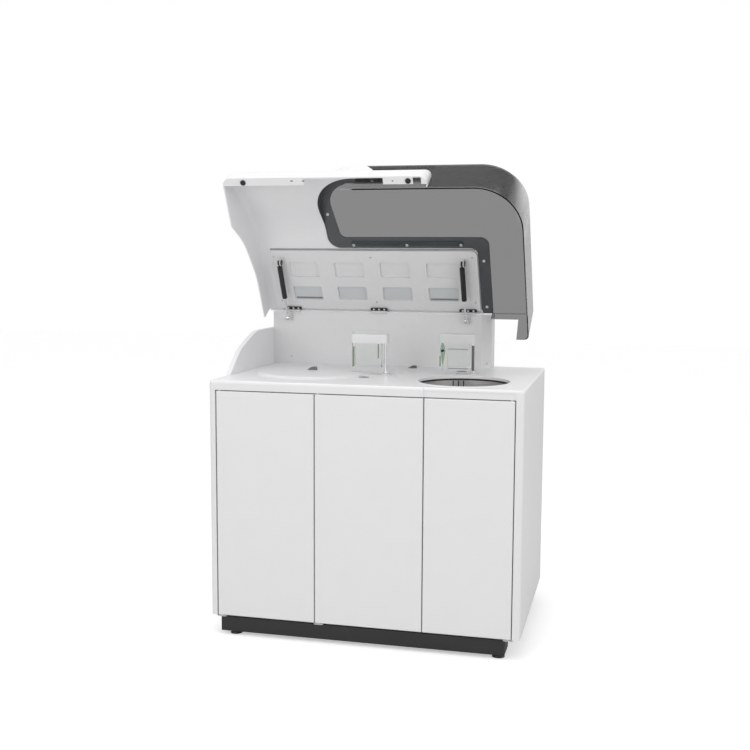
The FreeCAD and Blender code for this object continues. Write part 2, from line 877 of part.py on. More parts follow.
def window_left(y):
    """X of the window's left edge, which leans a little, at the level Y."""
    share = (y - window_front_y) / (window_rear_y - window_front_y)
    left_share = window_left_front_share + (window_left_rear_share - window_left_front_share) * share
    return left_share * half_width


def window_plan(inset):
    """Plan of the smoked window: an L that reaches back to the hinge line on the right."""
    rear = window_rear_y - inset
    back = window_back_y - inset
    right = window_right_x - inset
    front = window_front_y + inset
    branch = window_branch_x + inset
    corner = window_corner_radius - inset
    return [(window_left(front) + inset, front, corner), (right, front, corner), (right, back, window_rear_radius),
            (branch, back, 0), (branch, rear, window_branch_radius), (window_left(rear) + inset, rear, window_left_radius)]


def window_box(inset):
    """The bubble's full block between its plan, the deck and the closed lid's top, with its fold rounded."""
    back = window_back_y - inset
    front = window_front_y + inset
    corner = window_corner_radius - inset
    plan = [(window_left(front) + inset, front, corner), (window_right_x - inset, front, corner),
            (window_right_x - inset, back, window_rear_radius - inset), (window_left(back) + inset, back, 0)]
    bottom = deck_height + lid_bottom_gap - (cut_overrun if inset else 0)
    solid = prism(plan, "plan", (bottom, deck_height + cabinet_depth))
    cap = laid(block((-cabinet_width, cabinet_width), from_hinge(-cabinet_depth, cabinet_depth + half_depth),
                     above_hinge(lid_top_above_hinge - inset, cabinet_depth * 2)))
    solid = solid.cut(cap)
    top = max(solid.Faces, key=lambda face: face.CenterOfMass.z)
    edges = [edge for edge in top.OuterWire.Edges
             if edge.CenterOfMass.y < back - cut_overrun and edge.CenterOfMass.x > window_left(edge.CenterOfMass.y) + cut_overrun]
    return solid.makeFillet(window_fold_radius - inset, edges)


def under_top(inset, x, y):
    """Everything below the closed lid's flat top less the inset, over a level rectangle."""
    return laid(block(x, y, (deck_height - cabinet_depth, hinge_z + lid_top_above_hinge - inset)))


def make_window():
    """Smoked one-piece shell: flat top, front and right skirts with a rounded corner, and a rear flange and leg."""
    shell = window_box(0).cut(window_box(window_wall))
    plan = prism(window_plan(0), "plan", (0, deck_height + cabinet_depth))
    shell = shell.common(plan)
    back = window_back_y
    all_y = (window_front_y - cut_overrun, back + cut_overrun)
    cuts = [under_top(window_wall, (window_left(window_front_y) - cut_overrun, bezel_start_x), all_y)]
    flange_low = lid_top_z(back) - window_rear_flange
    rear_y = (back - window_wall - cut_overrun, back + cut_overrun)
    leg = [(housing_clear_x(), 0, 0), (window_leg_low_x, 0, 0), (window_leg_low_x, deck_height, 0),
           (window_leg_top_x, flange_low, 0), (housing_clear_x(), flange_low, 0)]
    cuts.append(prism(leg, "front", rear_y))
    cuts.append(under_top(window_wall, (window_branch_x - cut_overrun, housing_clear_x()), rear_y))
    bottom = deck_height + lid_bottom_gap
    rising = [(window_front_y + window_corner_radius, bottom, 0), (back + cut_overrun, bottom + window_skirt_rise, 0),
              (back + cut_overrun, 0, 0), (window_front_y + window_corner_radius, 0, 0)]
    cuts.append(prism(rising, "side", (window_branch_x, window_right_x + cut_overrun)))
    return largest(shell.cut(cuts))


def housing_clear_x():
    return housing_right_x + joint_gap


def largest(shape):
    return max(shape.Solids, key=lambda solid: solid.Volume)


def make_bezel():
    """Wall of the moulding round the window's left side and front left corner, sloping down to the lip."""
    wall = bezel_wall
    rear = window_rear_y
    front = window_front_y - wall
    end = bezel_end_x + bezel_sweep_radius
    outer = [(window_left(front) - wall, front, window_corner_radius + wall), (end, front, 0), (end, rear, 0),
             (window_left(rear) - wall, rear, 0)]
    z = (deck_height + lid_bottom_gap + lid_wall, deck_height + cabinet_depth)
    corner = block((window_left(rear), end), (rear - window_left_radius, rear), (0, z[1]))
    ring = prism(outer, "plan", z).cut([prism(window_plan(0), "plan", (0, z[1])), corner])
    ring = ring.common(under_top(0, (window_left(front) - wall, end), (front, rear)))
    top = lid_top_z(window_front_y) + wall
    low = deck_height + lid_lip_height
    sweep = [(bezel_start_x, top, 0), (end + cut_overrun, top, 0), (end + cut_overrun, low, 0),
             (bezel_end_x, low, bezel_sweep_radius), (bezel_knee_x, deck_height + bezel_knee_height, bezel_knee_radius),
             (bezel_start_x, top - wall, 0)]
    slope = prism(sweep, "front", (front - cut_overrun, rear))
    return ring.cut([slope, lid_body(lid_wall, -half_width + lid_wall, window_branch_x)])


def make_moulding():
    """White lid shell: flat at the hinge, falling to a low lip that runs on under the window's front."""
    front = front_y - lid_front_overhang
    rear = hinge_y + lid_rear_behind_hinge
    bottom = deck_height + lid_bottom_gap
    left = -half_width
    right = window_branch_x
    wall = lid_wall
    inside = lid_body(wall, left + wall, right + cut_overrun).common(lid_plan(wall))
    shell = lid_body(0, left, right).common(lid_plan(0)).cut(inside)
    inside_x = (left + wall, right + cut_overrun)
    below = (bottom - cut_overrun, bottom + wall + cut_overrun)
    rear_wall_low = lid_top_z(rear) - wall - lid_rear_wall_drop
    cuts = [block(inside_x, (front + wall + lid_flange_depth, rear + cut_overrun), below),
            block((lid_flange_end_x, lid_plate_left_x), (front + wall, rear), below),
            block((lid_plate_right_x, lid_claw_x - lid_claw_radius), (front + wall, rear), below),
            block(inside_x, (rear - wall - cut_overrun, rear + cut_overrun), (0, rear_wall_low)),
            block((left - cut_overrun, left + wall + cut_overrun),
                  (housing_front_y - lid_skirt_end_inset, rear + cut_overrun), (0, rear_wall_low)),
            prism(window_plan(0), "plan", (0, deck_height + cabinet_depth))]
    rise = lid_bottom_gap
    wing = [(y, z + rise, radius) for y, z, radius in wing_corners(0)]
    wing += [(back_y, deck_height - rise, 0), (wing_start_y, deck_height - rise, 0)]
    cuts.append(prism(wing, "side", (left - cut_overrun, left + wing_thickness + joint_gap)))
    return largest(union([shell.cut(cuts), make_bezel()]))


def make_clamp():
    """Dark frame that clamps the window's left, rear and inner right edges."""
    lap = clamp_lap
    rear = window_rear_y
    back = hinge_y - clamp_end_from_hinge
    front = window_front_y + seat_gap
    folded_front = window_front_y + window_wall + window_fold_radius
    inner_front = folded_front + clamp_front_band
    inner_rear = rear - clamp_rear_band
    branch = window_branch_x
    corners = [(branch - lap, back, 0), (branch - lap, rear + lap, window_branch_radius - lap),
               (window_left(rear) + seat_gap, rear + lap, window_left_radius),
               (window_left(front) + seat_gap, front, window_corner_radius),
               (bezel_start_x, front, 0), (bezel_start_x, folded_front, 0),
               (clamp_front_end_x, folded_front, 0), (clamp_front_end_x, inner_front, 0),
               (window_left(inner_front) + clamp_left_band_front, inner_front, clamp_front_radius),
               (window_left(inner_rear) + clamp_left_band_rear, inner_rear, clamp_inner_radius),
               (branch + clamp_branch_band, inner_rear, window_branch_radius),
               (branch + clamp_branch_band, back, 0)]
    ring = prism(corners, "plan", above_hinge(lid_top_above_hinge - window_wall - clamp_thickness,
                                              lid_top_above_hinge - window_wall))
    return laid(ring)


def pocket_spans():
    """X and level Y span of each pocket in the inner panel."""
    spans = []
    first, last = pocket_place_shares
    for column in range(pocket_columns):
        middle = (first + (last - first) * column / (pocket_columns - 1)) * half_width
        x = (middle - pocket_width / 2, middle + pocket_width / 2)
        for near, far in (pocket_rear_row_shares, pocket_front_row_shares):
            spans.append((x, from_hinge(near * lid_depth, far * lid_depth)))
    return spans


def make_inner_panel():
    """Pressed sheet panel under the lid with two rows of rectangular pockets and a rim up to the moulding."""
    x = (inner_panel_left_x, window_branch_x - clamp_lap - joint_gap)
    y = from_hinge(inner_panel_rear_from_hinge, inner_panel_front_share * lid_depth)
    top = lid_top_above_hinge - lid_wall
    low = top - inner_panel_depth
    sheet = inner_panel_sheet
    branch_corner = window_branch_radius - clamp_lap - joint_gap
    outer = prism([(x[0], y[0], pocket_radius), (x[1], y[0], branch_corner), (x[1], y[1], pocket_radius),
                   (x[0], y[1], pocket_radius)], "plan", above_hinge(low, top))
    hollow = prism([(x[0] + sheet, y[0] + sheet, pocket_radius), (x[1] - sheet, y[0] + sheet, branch_corner - sheet),
                    (x[1] - sheet, y[1] - sheet, pocket_radius), (x[0] + sheet, y[1] - sheet, pocket_radius)],
                   "plan", above_hinge(low + sheet, top + cut_overrun))
    pans = []
    mouths = []
    for pocket_x, pocket_y in pocket_spans():
        wide = rectangle((pocket_x[0] - sheet, pocket_x[1] + sheet), (pocket_y[0] - sheet, pocket_y[1] + sheet),
                         pocket_radius + sheet)
        pans.append(prism(wide, "plan", above_hinge(low, low + pocket_depth + sheet)))
        mouths.append(prism(rectangle(pocket_x, pocket_y, pocket_radius), "plan",
                            above_hinge(low - cut_overrun, low + pocket_depth)))
    panel = outer.cut(hollow).fuse(pans).cut(mouths)
    return laid(panel.removeSplitter())


def make_bumpers():
    """Round rubber stops on the lip's inner flange that land on the deck."""
    y = front_y - lid_front_overhang + lid_wall + lid_flange_depth / 2
    solids = []
    for x in bumper_places_x:
        solids.append(rod(bumper_radius, (x, y, deck_height + seat_gap), (0, 0, 1), lid_bottom_gap - seat_gap))
    return group(solids)


def make_fixed_leaves():
    """Hinge leaves on the housing wall with their outer knuckles and the riveted pin."""
    radius = hinge_knuckle_radius
    solids = []
    for middle in hinge_places_x:
        x = (middle - hinge_width / 2, middle + hinge_width / 2)
        plate_y = (hinge_y + radius - hinge_leaf_thickness, hinge_y + radius)
        plate = block(x, plate_y, (hinge_z - hinge_leaf_length, hinge_z - radius - hinge_knuckle_gap))
        parts = [plate, rod(hinge_pin_radius, (x[0], hinge_y, hinge_z), (1, 0, 0), hinge_width)]
        for start, length in knuckle_spans(x[0])[::2]:
            span = (start, start + length)
            knuckle = rod(radius, (start, hinge_y, hinge_z), (1, 0, 0), length)
            web = block(span, plate_y, (hinge_z - radius - hinge_knuckle_gap, hinge_z))
            parts += [knuckle, web]
        solids.append(union(parts))
    return group(solids)


def knuckle_spans(start):
    """Start and length of each knuckle along the hinge, with a gap between them."""
    pitch = hinge_width / hinge_knuckles
    return [(start + pitch * index + hinge_knuckle_gap / 2, pitch - hinge_knuckle_gap) for index in range(hinge_knuckles)]


def make_moving_leaves():
    """Hinge leaves under the lid's inner panel, each with the middle knuckle."""
    radius = hinge_knuckle_radius
    low = lid_top_above_hinge - lid_wall - inner_panel_depth - hinge_leaf_thickness
    solids = []
    for middle in hinge_places_x:
        x = (middle - hinge_width / 2, middle + hinge_width / 2)
        z = above_hinge(low, low + hinge_leaf_thickness)
        plate = block(x, from_hinge(radius + hinge_knuckle_gap, hinge_leaf_length), z)
        start, length = knuckle_spans(x[0])[1]
        knuckle = rod(radius, (start, hinge_y, hinge_z), (1, 0, 0), length)
        web = block((start, start + length), from_hinge(0, radius + hinge_knuckle_gap), z)
        bore = rod(hinge_pin_radius + pin_clearance, (start - cut_overrun, hinge_y, hinge_z), (1, 0, 0),
                   length + 2 * cut_overrun)
        solids.append(union([plate, knuckle, web]).cut(bore))
    return laid(group(solids))


def strut_ends():
    """Lower and upper pivot of the struts in the open pose, as (Y, Z) vectors."""
    lower = Vector(0, strut_lower_y, deck_height + strut_lower_rise)
    point = Part.Vertex(0, hinge_y - strut_upper_from_hinge, hinge_z - strut_upper_drop)
    upper = opened(laid(point)).Point
    return lower, upper


def along_strut(shape, x):
    """From a strut drawn upright at the origin to its open place at x."""
    lower, upper = strut_ends()
    copy = shape.copy()
    tilt = math.degrees(math.atan2(upper.z - lower.z, upper.y - lower.y)) - math.degrees(math.pi / 2)
    copy.rotate(Vector(0, 0, 0), Vector(1, 0, 0), tilt)
    copy.translate(Vector(x, lower.y, lower.z))
    return copy


def strut_length():
    lower, upper = strut_ends()
    return (upper - lower).Length


def make_strut_rod(x):
    """Rod with an eye at the lower pivot and a piston inside the tube."""
    half = strut_eye_width / 2
    eye = rod(strut_eye_radius, (-half, 0, 0), (1, 0, 0), strut_eye_width)
    end = strut_length() * strut_rod_share
    shaft = rod(strut_rod_radius, (0, 0, 0), (0, 0, 1), end)
    piston_radius = strut_tube_radius - strut_tube_wall - strut_piston_gap
    piston = rod(piston_radius, (0, 0, end - strut_gland_length), (0, 0, 1), strut_gland_length)
    neck = Part.makeCone(strut_rod_radius + strut_tube_wall, strut_rod_radius, strut_eye_radius,
                         Vector(0, 0, strut_eye_radius + strut_washer_thickness))
    bore = rod(strut_stud_radius + pin_clearance, (-half - cut_overrun, 0, 0), (1, 0, 0),
               strut_eye_width + 2 * cut_overrun)
    return along_strut(union([eye, shaft, piston, neck]).cut(bore), x)


def make_strut_tube(x):
    """Black cylinder with its gland below and the top fitting, whose pin has play in the lid's bracket."""
    length = strut_length()
    top = length - strut_top_fitting
    tube_length = length * strut_tube_share
    bottom = top - tube_length
    inner_radius = strut_tube_radius - strut_tube_wall
    body = rod(strut_tube_radius, (0, 0, bottom), (0, 0, 1), tube_length)
    cavity = rod(inner_radius, (0, 0, bottom + strut_gland_length), (0, 0, 1),
                 tube_length - 2 * strut_gland_length)
    bore = rod(strut_rod_radius + pin_clearance, (0, 0, bottom - cut_overrun), (0, 0, 1),
               strut_gland_length + 2 * cut_overrun)
    half = strut_eye_width / 2
    neck = rod(strut_rod_radius, (0, 0, top), (0, 0, 1), strut_top_fitting)
    eye = rod(strut_eye_radius, (-half, 0, length), (1, 0, 0), strut_eye_width)
    pin_length = strut_ear_gap + strut_foot_plate + strut_ear_gap + half
    pin = rod(strut_stud_radius, (0, 0, length), (1, 0, 0), pin_length)
    washer = rod(strut_washer_radius, (pin_length, 0, length), (1, 0, 0), strut_washer_thickness)
    return along_strut(union([body, neck, eye, pin, washer]).cut([cavity, bore]), x)


def make_lower_studs():
    """Brackets on the housing wall whose studs carry the struts' lower eyes."""
    lower, upper = strut_ends()
    half_plate = strut_foot_width / 2
    solids = []
    for x in (strut_left_x, strut_right_x):
        ear_x = (x + strut_eye_width / 2 + strut_ear_gap, x + strut_eye_width / 2 + strut_ear_gap + strut_foot_plate)
        plate = block((x - half_plate, x + half_plate), (housing_front_y - strut_foot_plate, housing_front_y),
                      (lower.z - half_plate, hinge_z - hinge_leaf_length - seat_gap - strut_plate_drop))
        nose = [(housing_front_y - strut_foot_plate, lower.z - strut_eye_radius, 0),
                (lower.y - strut_eye_radius, lower.z - strut_eye_radius, strut_stud_radius * 2),
                (lower.y - strut_eye_radius, lower.z + strut_eye_radius, strut_stud_radius * 2),
                (housing_front_y - strut_foot_plate, lower.z + strut_eye_radius, 0)]
        ear = prism(nose, "side", ear_x)
        start = x - strut_eye_width / 2 - strut_ear_gap
        stud = rod(strut_stud_radius, (start, lower.y, lower.z), (1, 0, 0), ear_x[1] - start)
        head = rod(strut_eye_radius - strut_washer_thickness, (start - strut_washer_thickness, lower.y, lower.z),
                   (1, 0, 0), strut_washer_thickness)
        solids.append(union([plate, ear, stud, head]))
    return group(solids)


def make_upper_brackets():
    """Ears under the lid panel, each with a hole wide enough for the strut pin's sideways drift."""
    low = lid_top_above_hinge - lid_wall - inner_panel_depth
    solids = []
    for x in (strut_left_x, strut_right_x):
        ear_start = x + strut_eye_width / 2 + strut_ear_gap
        hole_radius = strut_stud_radius + strut_free_play
        rim = hole_radius + strut_foot_plate
        y = from_hinge(strut_upper_from_hinge - rim, strut_upper_from_hinge + rim)
        z = above_hinge(-strut_upper_drop - rim, low)
        middle_y = hinge_y - strut_upper_from_hinge
        ear = prism(rectangle(y, z, 0), "side", (ear_start, ear_start + strut_foot_plate))
        corner = rectangle(y, (z[0], z[1] + rim), rim * strut_rim_share)
        ear = ear.common(prism(corner, "side", (ear_start, ear_start + strut_foot_plate)))
        foot = block((ear_start, ear_start + strut_foot_width / 2), y, (z[1] - strut_foot_plate, z[1]))
        hole = rod(hole_radius, (ear_start - cut_overrun, middle_y, hinge_z - strut_upper_drop), (1, 0, 0),
                   strut_foot_plate + 2 * cut_overrun)
        solids.append(union([ear, foot]).cut(hole))
    return laid(group(solids))


def make_rim():
    """Ring round the reagent opening, with a neck through the deck."""
    neck_low = deck_height - rim_depth
    flange = tube(rim_radius, rim_inner_radius, (carousel_x, carousel_y, deck_height), (0, 0, 1), rim_height)
    neck = tube(rim_neck_radius, rim_inner_radius, (carousel_x, carousel_y, neck_low), (0, 0, 1), rim_depth)
    return union([flange, neck])


def tub_top():
    return deck_height - rim_depth


def make_tub():
    """Round steel tub hung under the rim, with a bore in its floor for the carousel shaft."""
    top = tub_top()
    place = (carousel_x, carousel_y, top - tub_depth)
    outer = rod(rim_inner_radius, place, (0, 0, 1), tub_depth)
    flange = rod(rim_neck_radius, (carousel_x, carousel_y, top - tub_wall), (0, 0, 1), tub_wall)
    inner = rod(rim_inner_radius - tub_wall, (carousel_x, carousel_y, top - tub_depth + tub_wall), (0, 0, 1), tub_depth)
    hole = rod(rotor_shaft_radius + seat_gap, (carousel_x, carousel_y, top - tub_depth - cut_overrun), (0, 0, 1),
               tub_wall + 2 * cut_overrun)
    return union([outer, flange]).cut([inner, hole])


def bottle_places():
    ring = rotor_radius * bottle_ring_share
    pitch = math.degrees(2 * math.pi) / bottle_count
    return [around((carousel_x, carousel_y), ring, pitch * index) for index in range(bottle_count)]


def make_rotor():
    """Carousel: floor plate, hub with lifting knob, shaft and a pocketed upper plate."""
    radius = rotor_radius
    top = deck_height - rotor_top_drop
    floor_low = top - bottle_height + bottle_neck_rise()
    thickness = rotor_plate_thickness
    centre = (carousel_x, carousel_y)
    upper = rod(radius, centre + (top - thickness,), (0, 0, 1), thickness)
    floor = rod(radius, centre + (floor_low - thickness,), (0, 0, 1), thickness)
    hub = rod(rotor_hub_radius, centre + (floor_low,), (0, 0, 1), top - floor_low)
    knob = rod(rotor_knob_radius, centre + (top,), (0, 0, 1), rotor_knob_height)
    shaft_low = tub_top() - tub_depth - motor_plate_thickness - motor_bearing_length
    shaft = rod(rotor_shaft_radius, centre + (shaft_low,), (0, 0, 1), floor_low - shaft_low)
    holes = [rod(bottle_radius + seat_gap, (p.x, p.y, top - thickness - cut_overrun), (0, 0, 1),
                 thickness + 2 * cut_overrun) for p in bottle_places()]
    return union([upper, floor, hub, knob, shaft]).cut(holes)


def bottle_neck_rise():
    return bottle_height / 3


def make_bottles():
    """Reagent bottles standing on the carousel's floor plate."""
    low = deck_height - rotor_top_drop - bottle_height + bottle_neck_rise()
    body = rod(bottle_radius, (0, 0, low), (0, 0, 1), bottle_height - bottle_cap_height)
    cap = rod(bottle_radius * bottle_neck_share, (0, 0, low + bottle_height - bottle_cap_height), (0, 0, 1), bottle_cap_height)
    cavity = rod(bottle_radius - bottle_wall, (0, 0, low + bottle_wall), (0, 0, 1),
                 bottle_height - bottle_cap_height - 2 * bottle_wall)
    bottle = union([body, cap]).cut(cavity)
    solids = []
    for place in bottle_places():
        copy = bottle.copy()
        copy.translate(place)
        solids.append(copy)
    return group(solids)


def motor_parts(x, y, seat_z, shaft_radius):
    """Motor with its bearing collar, fixed under seat_z; the bearing's bore takes the shaft."""
    half = motor_size / 2
    plate_radius = half + motor_plate_margin
    bearing_low = seat_z - motor_plate_thickness - motor_bearing_length
    plate = rod(plate_radius, (x, y, seat_z - motor_plate_thickness), (0, 0, 1), motor_plate_thickness)
    bearing = rod(motor_bearing_radius, (x, y, bearing_low), (0, 0, 1), motor_bearing_length)
    body = block((x - half, x + half), (y - half, y + half), (bearing_low - motor_height, bearing_low))
    bore = rod(shaft_radius + motor_bearing_gap, (x, y, bearing_low), (0, 0, 1), seat_z - bearing_low + cut_overrun)
    return union([plate, bearing, body]).cut(bore)


def make_drives():
    """The two carousel motors, each hung under the floor of its tub."""
    reagent = motor_parts(carousel_x, carousel_y, tub_top() - tub_depth, rotor_shaft_radius)
    reaction = motor_parts(reaction_x, reaction_y, deck_under - reaction_bath_depth, reaction_shaft_radius)
    return group([reagent, reaction])


def make_reaction_bath():
    """Shallow round bath under the deck with a flange that lies on it."""
    centre = (reaction_x, reaction_y)
    low = deck_under - reaction_bath_depth
    outer = rod(reaction_bath_radius, centre + (low,), (0, 0, 1), deck_height - low)
    flange = rod(reaction_bath_radius + reaction_bath_flange, centre + (deck_height,), (0, 0, 1), reaction_bath_wall)
    inner = rod(reaction_bath_radius - reaction_bath_wall, centre + (low + reaction_bath_wall,), (0, 0, 1),
                deck_height - low + cut_overrun)
    hole = rod(reaction_shaft_radius + seat_gap, centre + (low - cut_overrun,), (0, 0, 1),
               reaction_bath_wall + 2 * cut_overrun)
    return union([outer, flange]).cut([inner, hole])


def make_reaction_rotor():
    """Disc with a ring of cuvettes hanging from its edge."""
    centre = (reaction_x, reaction_y)
    top = deck_under - reaction_disc_drop
    low = deck_under - reaction_bath_depth - motor_plate_thickness - motor_bearing_length
    disc = rod(reaction_disc_radius, centre + (top - reaction_disc_thickness,), (0, 0, 1), reaction_disc_thickness)
    hub = rod(reaction_hub_radius, centre + (top - cuvette_height,), (0, 0, 1), cuvette_height)
    shaft = rod(reaction_shaft_radius, centre + (low,), (0, 0, 1), top - low)
    cuvettes = []
    mouths = []
    pitch = math.degrees(2 * math.pi) / cuvette_count
    half = cuvette_size / 2
    for index in range(cuvette_count):
        cell = block((reaction_ring_radius - half, reaction_ring_radius + half), (-half, half),
                     (top - cuvette_height, top))
        mouth = block((reaction_ring_radius - half + cuvette_wall, reaction_ring_radius + half - cuvette_wall),
                      (-half + cuvette_wall, half - cuvette_wall), (top - cuvette_height + cuvette_wall, top + cut_overrun))
        for shape, store in ((cell, cuvettes), (mouth, mouths)):
            shape.rotate(Vector(0, 0, 0), Vector(0, 0, 1), pitch * index)
            shape.translate(Vector(reaction_x, reaction_y, 0))
            store.append(shape)
    return union([disc, hub, shaft] + cuvettes).cut(mouths)


def make_reaction_cover():
    """Low round cover over the reaction carousel, with the slot that the probe dips through."""
    low = deck_height + reaction_bath_wall
    rise = reaction_cover_height
    outer_radius = reaction_cover_radius
    place = Vector(reaction_x, reaction_y, low)
    outer = Part.makeCone(outer_radius, outer_radius - reaction_cover_slope, rise, place)
    wall = reaction_cover_wall
    inner = rod(reaction_bath_radius - reaction_bath_wall, (reaction_x, reaction_y, low - cut_overrun), (0, 0, 1),
                cut_overrun + rise - wall)
    needle_x, needle_y = needle_place("sample")
    slot_x = (needle_x - aspiration_slot_length / 2, needle_x + aspiration_slot_length / 2)
    slot_y = (needle_y - aspiration_slot_width / 2, needle_y + aspiration_slot_width / 2)
    through = (low - cut_overrun, low + rise + cut_overrun)
    slot = prism(rectangle(slot_x, slot_y, aspiration_slot_width * slot_end_share), "plan", through)
    grip_middle = (reaction_x + cover_grip_offset[0], reaction_y + cover_grip_offset[1])
    grip_x = (grip_middle[0] - cover_grip_length / 2, grip_middle[0] + cover_grip_length / 2)
    grip_y = (grip_middle[1] - cover_grip_width / 2, grip_middle[1] + cover_grip_width / 2)
    grip = prism(rectangle(grip_x, grip_y, cover_grip_width * slot_end_share), "plan", through)
    rest = tube(reaction_bath_radius + reaction_bath_flange + seat_gap, reaction_bath_radius - reaction_bath_wall,
                (reaction_x, reaction_y, low - reaction_bath_wall), (0, 0, 1), reaction_bath_wall)
    skirt = rod(outer_radius, (reaction_x, reaction_y, deck_height), (0, 0, 1), reaction_bath_wall).cut(rest).cut(
        rod(reaction_bath_radius, (reaction_x, reaction_y, deck_height - cut_overrun), (0, 0, 1),
            reaction_bath_wall + 2 * cut_overrun))
    return union([outer, skirt]).cut([inner, slot, grip])


ARM_PLACES = {"sample": (sample_arm_x, sample_arm_y), "reagent": (reagent_arm_x, reagent_arm_y)}


def needle_place(name):
    x, y = ARM_PLACES[name]
    return x - needle_reach, y


def make_arm_guide(name):
    """Guide tube through the deck, with a flange and base plate on top of it."""
    x, y = ARM_PLACES[name]
    low = deck_height - arm_guide_length
    body = rod(arm_guide_radius, (x, y, low), (0, 0, 1), arm_guide_length)
    plate_x = (x - arm_plate_offset - arm_plate_length / 2, x - arm_plate_offset + arm_plate_length / 2)
    plate_y = (y - arm_plate_width / 2, y + arm_plate_width / 2)
    plate = prism(rectangle(plate_x, plate_y, arm_plate_radius), "plan", (deck_height, deck_height + arm_plate_height))
    flange = rod(arm_guide_flange_radius, (x, y, deck_height), (0, 0, 1), arm_guide_flange_height + arm_plate_height)
    bore = rod(arm_sleeve_radius + arm_running_gap, (x, y, low - cut_overrun), (0, 0, 1),
               arm_guide_length + arm_guide_flange_height + arm_plate_height + 2 * cut_overrun)
    return union([body, plate, flange]).cut(bore)


def sleeve_low():
    """Foot of the sleeve's tube, a full lift below the guide."""
    return deck_height - arm_guide_length - arm_lift_travel - joint_gap


def make_arm_sleeve(name):
    """Lifting sleeve inside the guide, with the belt clamp at its foot."""
    x, y = ARM_PLACES[name]
    top = deck_height + arm_guide_flange_height + arm_plate_height
    low = sleeve_low()
    body = rod(arm_sleeve_radius, (x, y, low), (0, 0, 1), top - low)
    clamp = block((x - belt_clamp_width / 2, x + belt_clamp_width / 2), (y, y + belt_clamp_length),
                  (low - belt_clamp_height, low))
    bore = rod(arm_shaft_radius + arm_running_gap, (x, y, low - belt_clamp_height - cut_overrun), (0, 0, 1),
               top - low + belt_clamp_height + 2 * cut_overrun)
    return union([body, clamp]).cut(bore)


def make_arm_shaft(name):
    """Upright shaft that turns in the sleeve, held by a collar above and below it."""
    x, y = ARM_PLACES[name]
    sleeve_top = deck_height + arm_guide_flange_height + arm_plate_height
    low = sleeve_low() - belt_clamp_height - seat_gap - arm_collar_height
    top = deck_height + arm_cover_rise + arm_cover_height - arm_cover_wall
    shaft = rod(arm_shaft_radius, (x, y, low), (0, 0, 1), top - low)
    upper = rod(arm_collar_radius, (x, y, sleeve_top + seat_gap), (0, 0, 1), arm_collar_height)
    lower = rod(arm_collar_radius, (x, y, low), (0, 0, 1), arm_collar_height)
    return union([shaft, upper, lower])


def arm_span(name):
    x, y = ARM_PLACES[name]
    right = x + arm_shaft_from_end
    return (right - arm_cover_length, right), (y - arm_cover_width / 2, y + arm_cover_width / 2)


def make_arm_cover(name):
    """White cap of the arm, open underneath, with a boss that clamps the shaft."""
    span_x, span_y = arm_span(name)
    x, y = ARM_PLACES[name]
    low = deck_height + arm_cover_rise
    z = (low, low + arm_cover_height)
    wall = arm_cover_wall
    outer = prism(rectangle(span_x, span_y, arm_cover_radius), "plan", z)
    top_edges = [edge for edge in outer.Edges if all(abs(vertex.Z - z[1]) < seat_gap for vertex in edge.Vertexes)]
    outer = outer.makeFillet(arm_cover_radius / 2, top_edges)
    inner = prism(rectangle((span_x[0] + wall, span_x[1] - wall), (span_y[0] + wall, span_y[1] - wall),
                            arm_cover_radius - wall), "plan", (z[0] - cut_overrun, z[1] - wall))
    boss = rod(arm_collar_radius, (x, y, z[0] + wall), (0, 0, 1), arm_cover_height - 2 * wall)
    needle_x, needle_y = needle_place(name)
    needle_boss = rod(arm_shaft_radius, (needle_x, needle_y, z[0] + wall), (0, 0, 1), arm_cover_height - 2 * wall)
    bores = [rod(arm_shaft_radius, (x, y, z[0]), (0, 0, 1), arm_cover_height - wall),
             rod(needle_radius, (needle_x, needle_y, z[0]), (0, 0, 1), arm_cover_height - wall)]
    return union([outer.cut(inner), boss, needle_boss]).cut(bores)


def make_needle(name):
    x, y = needle_place(name)
    low = deck_height + needle_tip_rise
    top = deck_height + arm_cover_rise + arm_cover_height - arm_cover_wall
    tip = Part.makeCone(needle_radius / 2, needle_radius, needle_tip_rise, Vector(x, y, low))
    return union([tip, rod(needle_radius, (x, y, low + needle_tip_rise), (0, 0, 1), top - low - needle_tip_rise)])


def make_guard(name):
    """Clear U-shaped guard hanging from the cap in front of and behind the needle."""
    span_x, span_y = arm_span(name)
    x, y = ARM_PLACES[name]
    z = (deck_height + guard_bottom_rise, deck_height + arm_cover_rise + arm_cover_height / 2)
    left = span_x[0] + arm_cover_wall + seat_gap
    right = x - arm_collar_radius - guard_inset
    half = guard_depth / 2
    outer = prism([(left, y - half, guard_thickness), (right, y - half, 0), (right, y + half, 0),
                   (left, y + half, guard_thickness)], "plan", z)
    inner = block((left + guard_thickness, right + cut_overrun), (y - half + guard_thickness, y + half - guard_thickness),
                  (z[0] - cut_overrun, z[1] + cut_overrun))
    return outer.cut(inner)


def well_places():
    """Wash well of each arm on the circle that its needle sweeps, and the well at the back."""
    places = [(rear_well_x, rear_well_y)]
    for name, turn in (("sample", wash_turn_deg), ("reagent", -wash_turn_deg)):
        angle = math.pi + math.radians(turn)
        centre_x, centre_y = ARM_PLACES[name]
        places.append((centre_x + needle_reach * math.cos(angle), centre_y + needle_reach * math.sin(angle)))
    return places


def make_wells():
    """Grey cups let into the deck."""
    solids = []
    for x, y in well_places():
        low = deck_height - well_depth
        cup = rod(well_radius, (x, y, low), (0, 0, 1), well_depth)
        flange = rod(well_flange_radius, (x, y, deck_height), (0, 0, 1), well_flange_height)
        inner = rod(well_inner_radius, (x, y, low + well_radius - well_inner_radius), (0, 0, 1), well_depth)
        solids.append(union([cup, flange]).cut(inner))
    return group(solids)


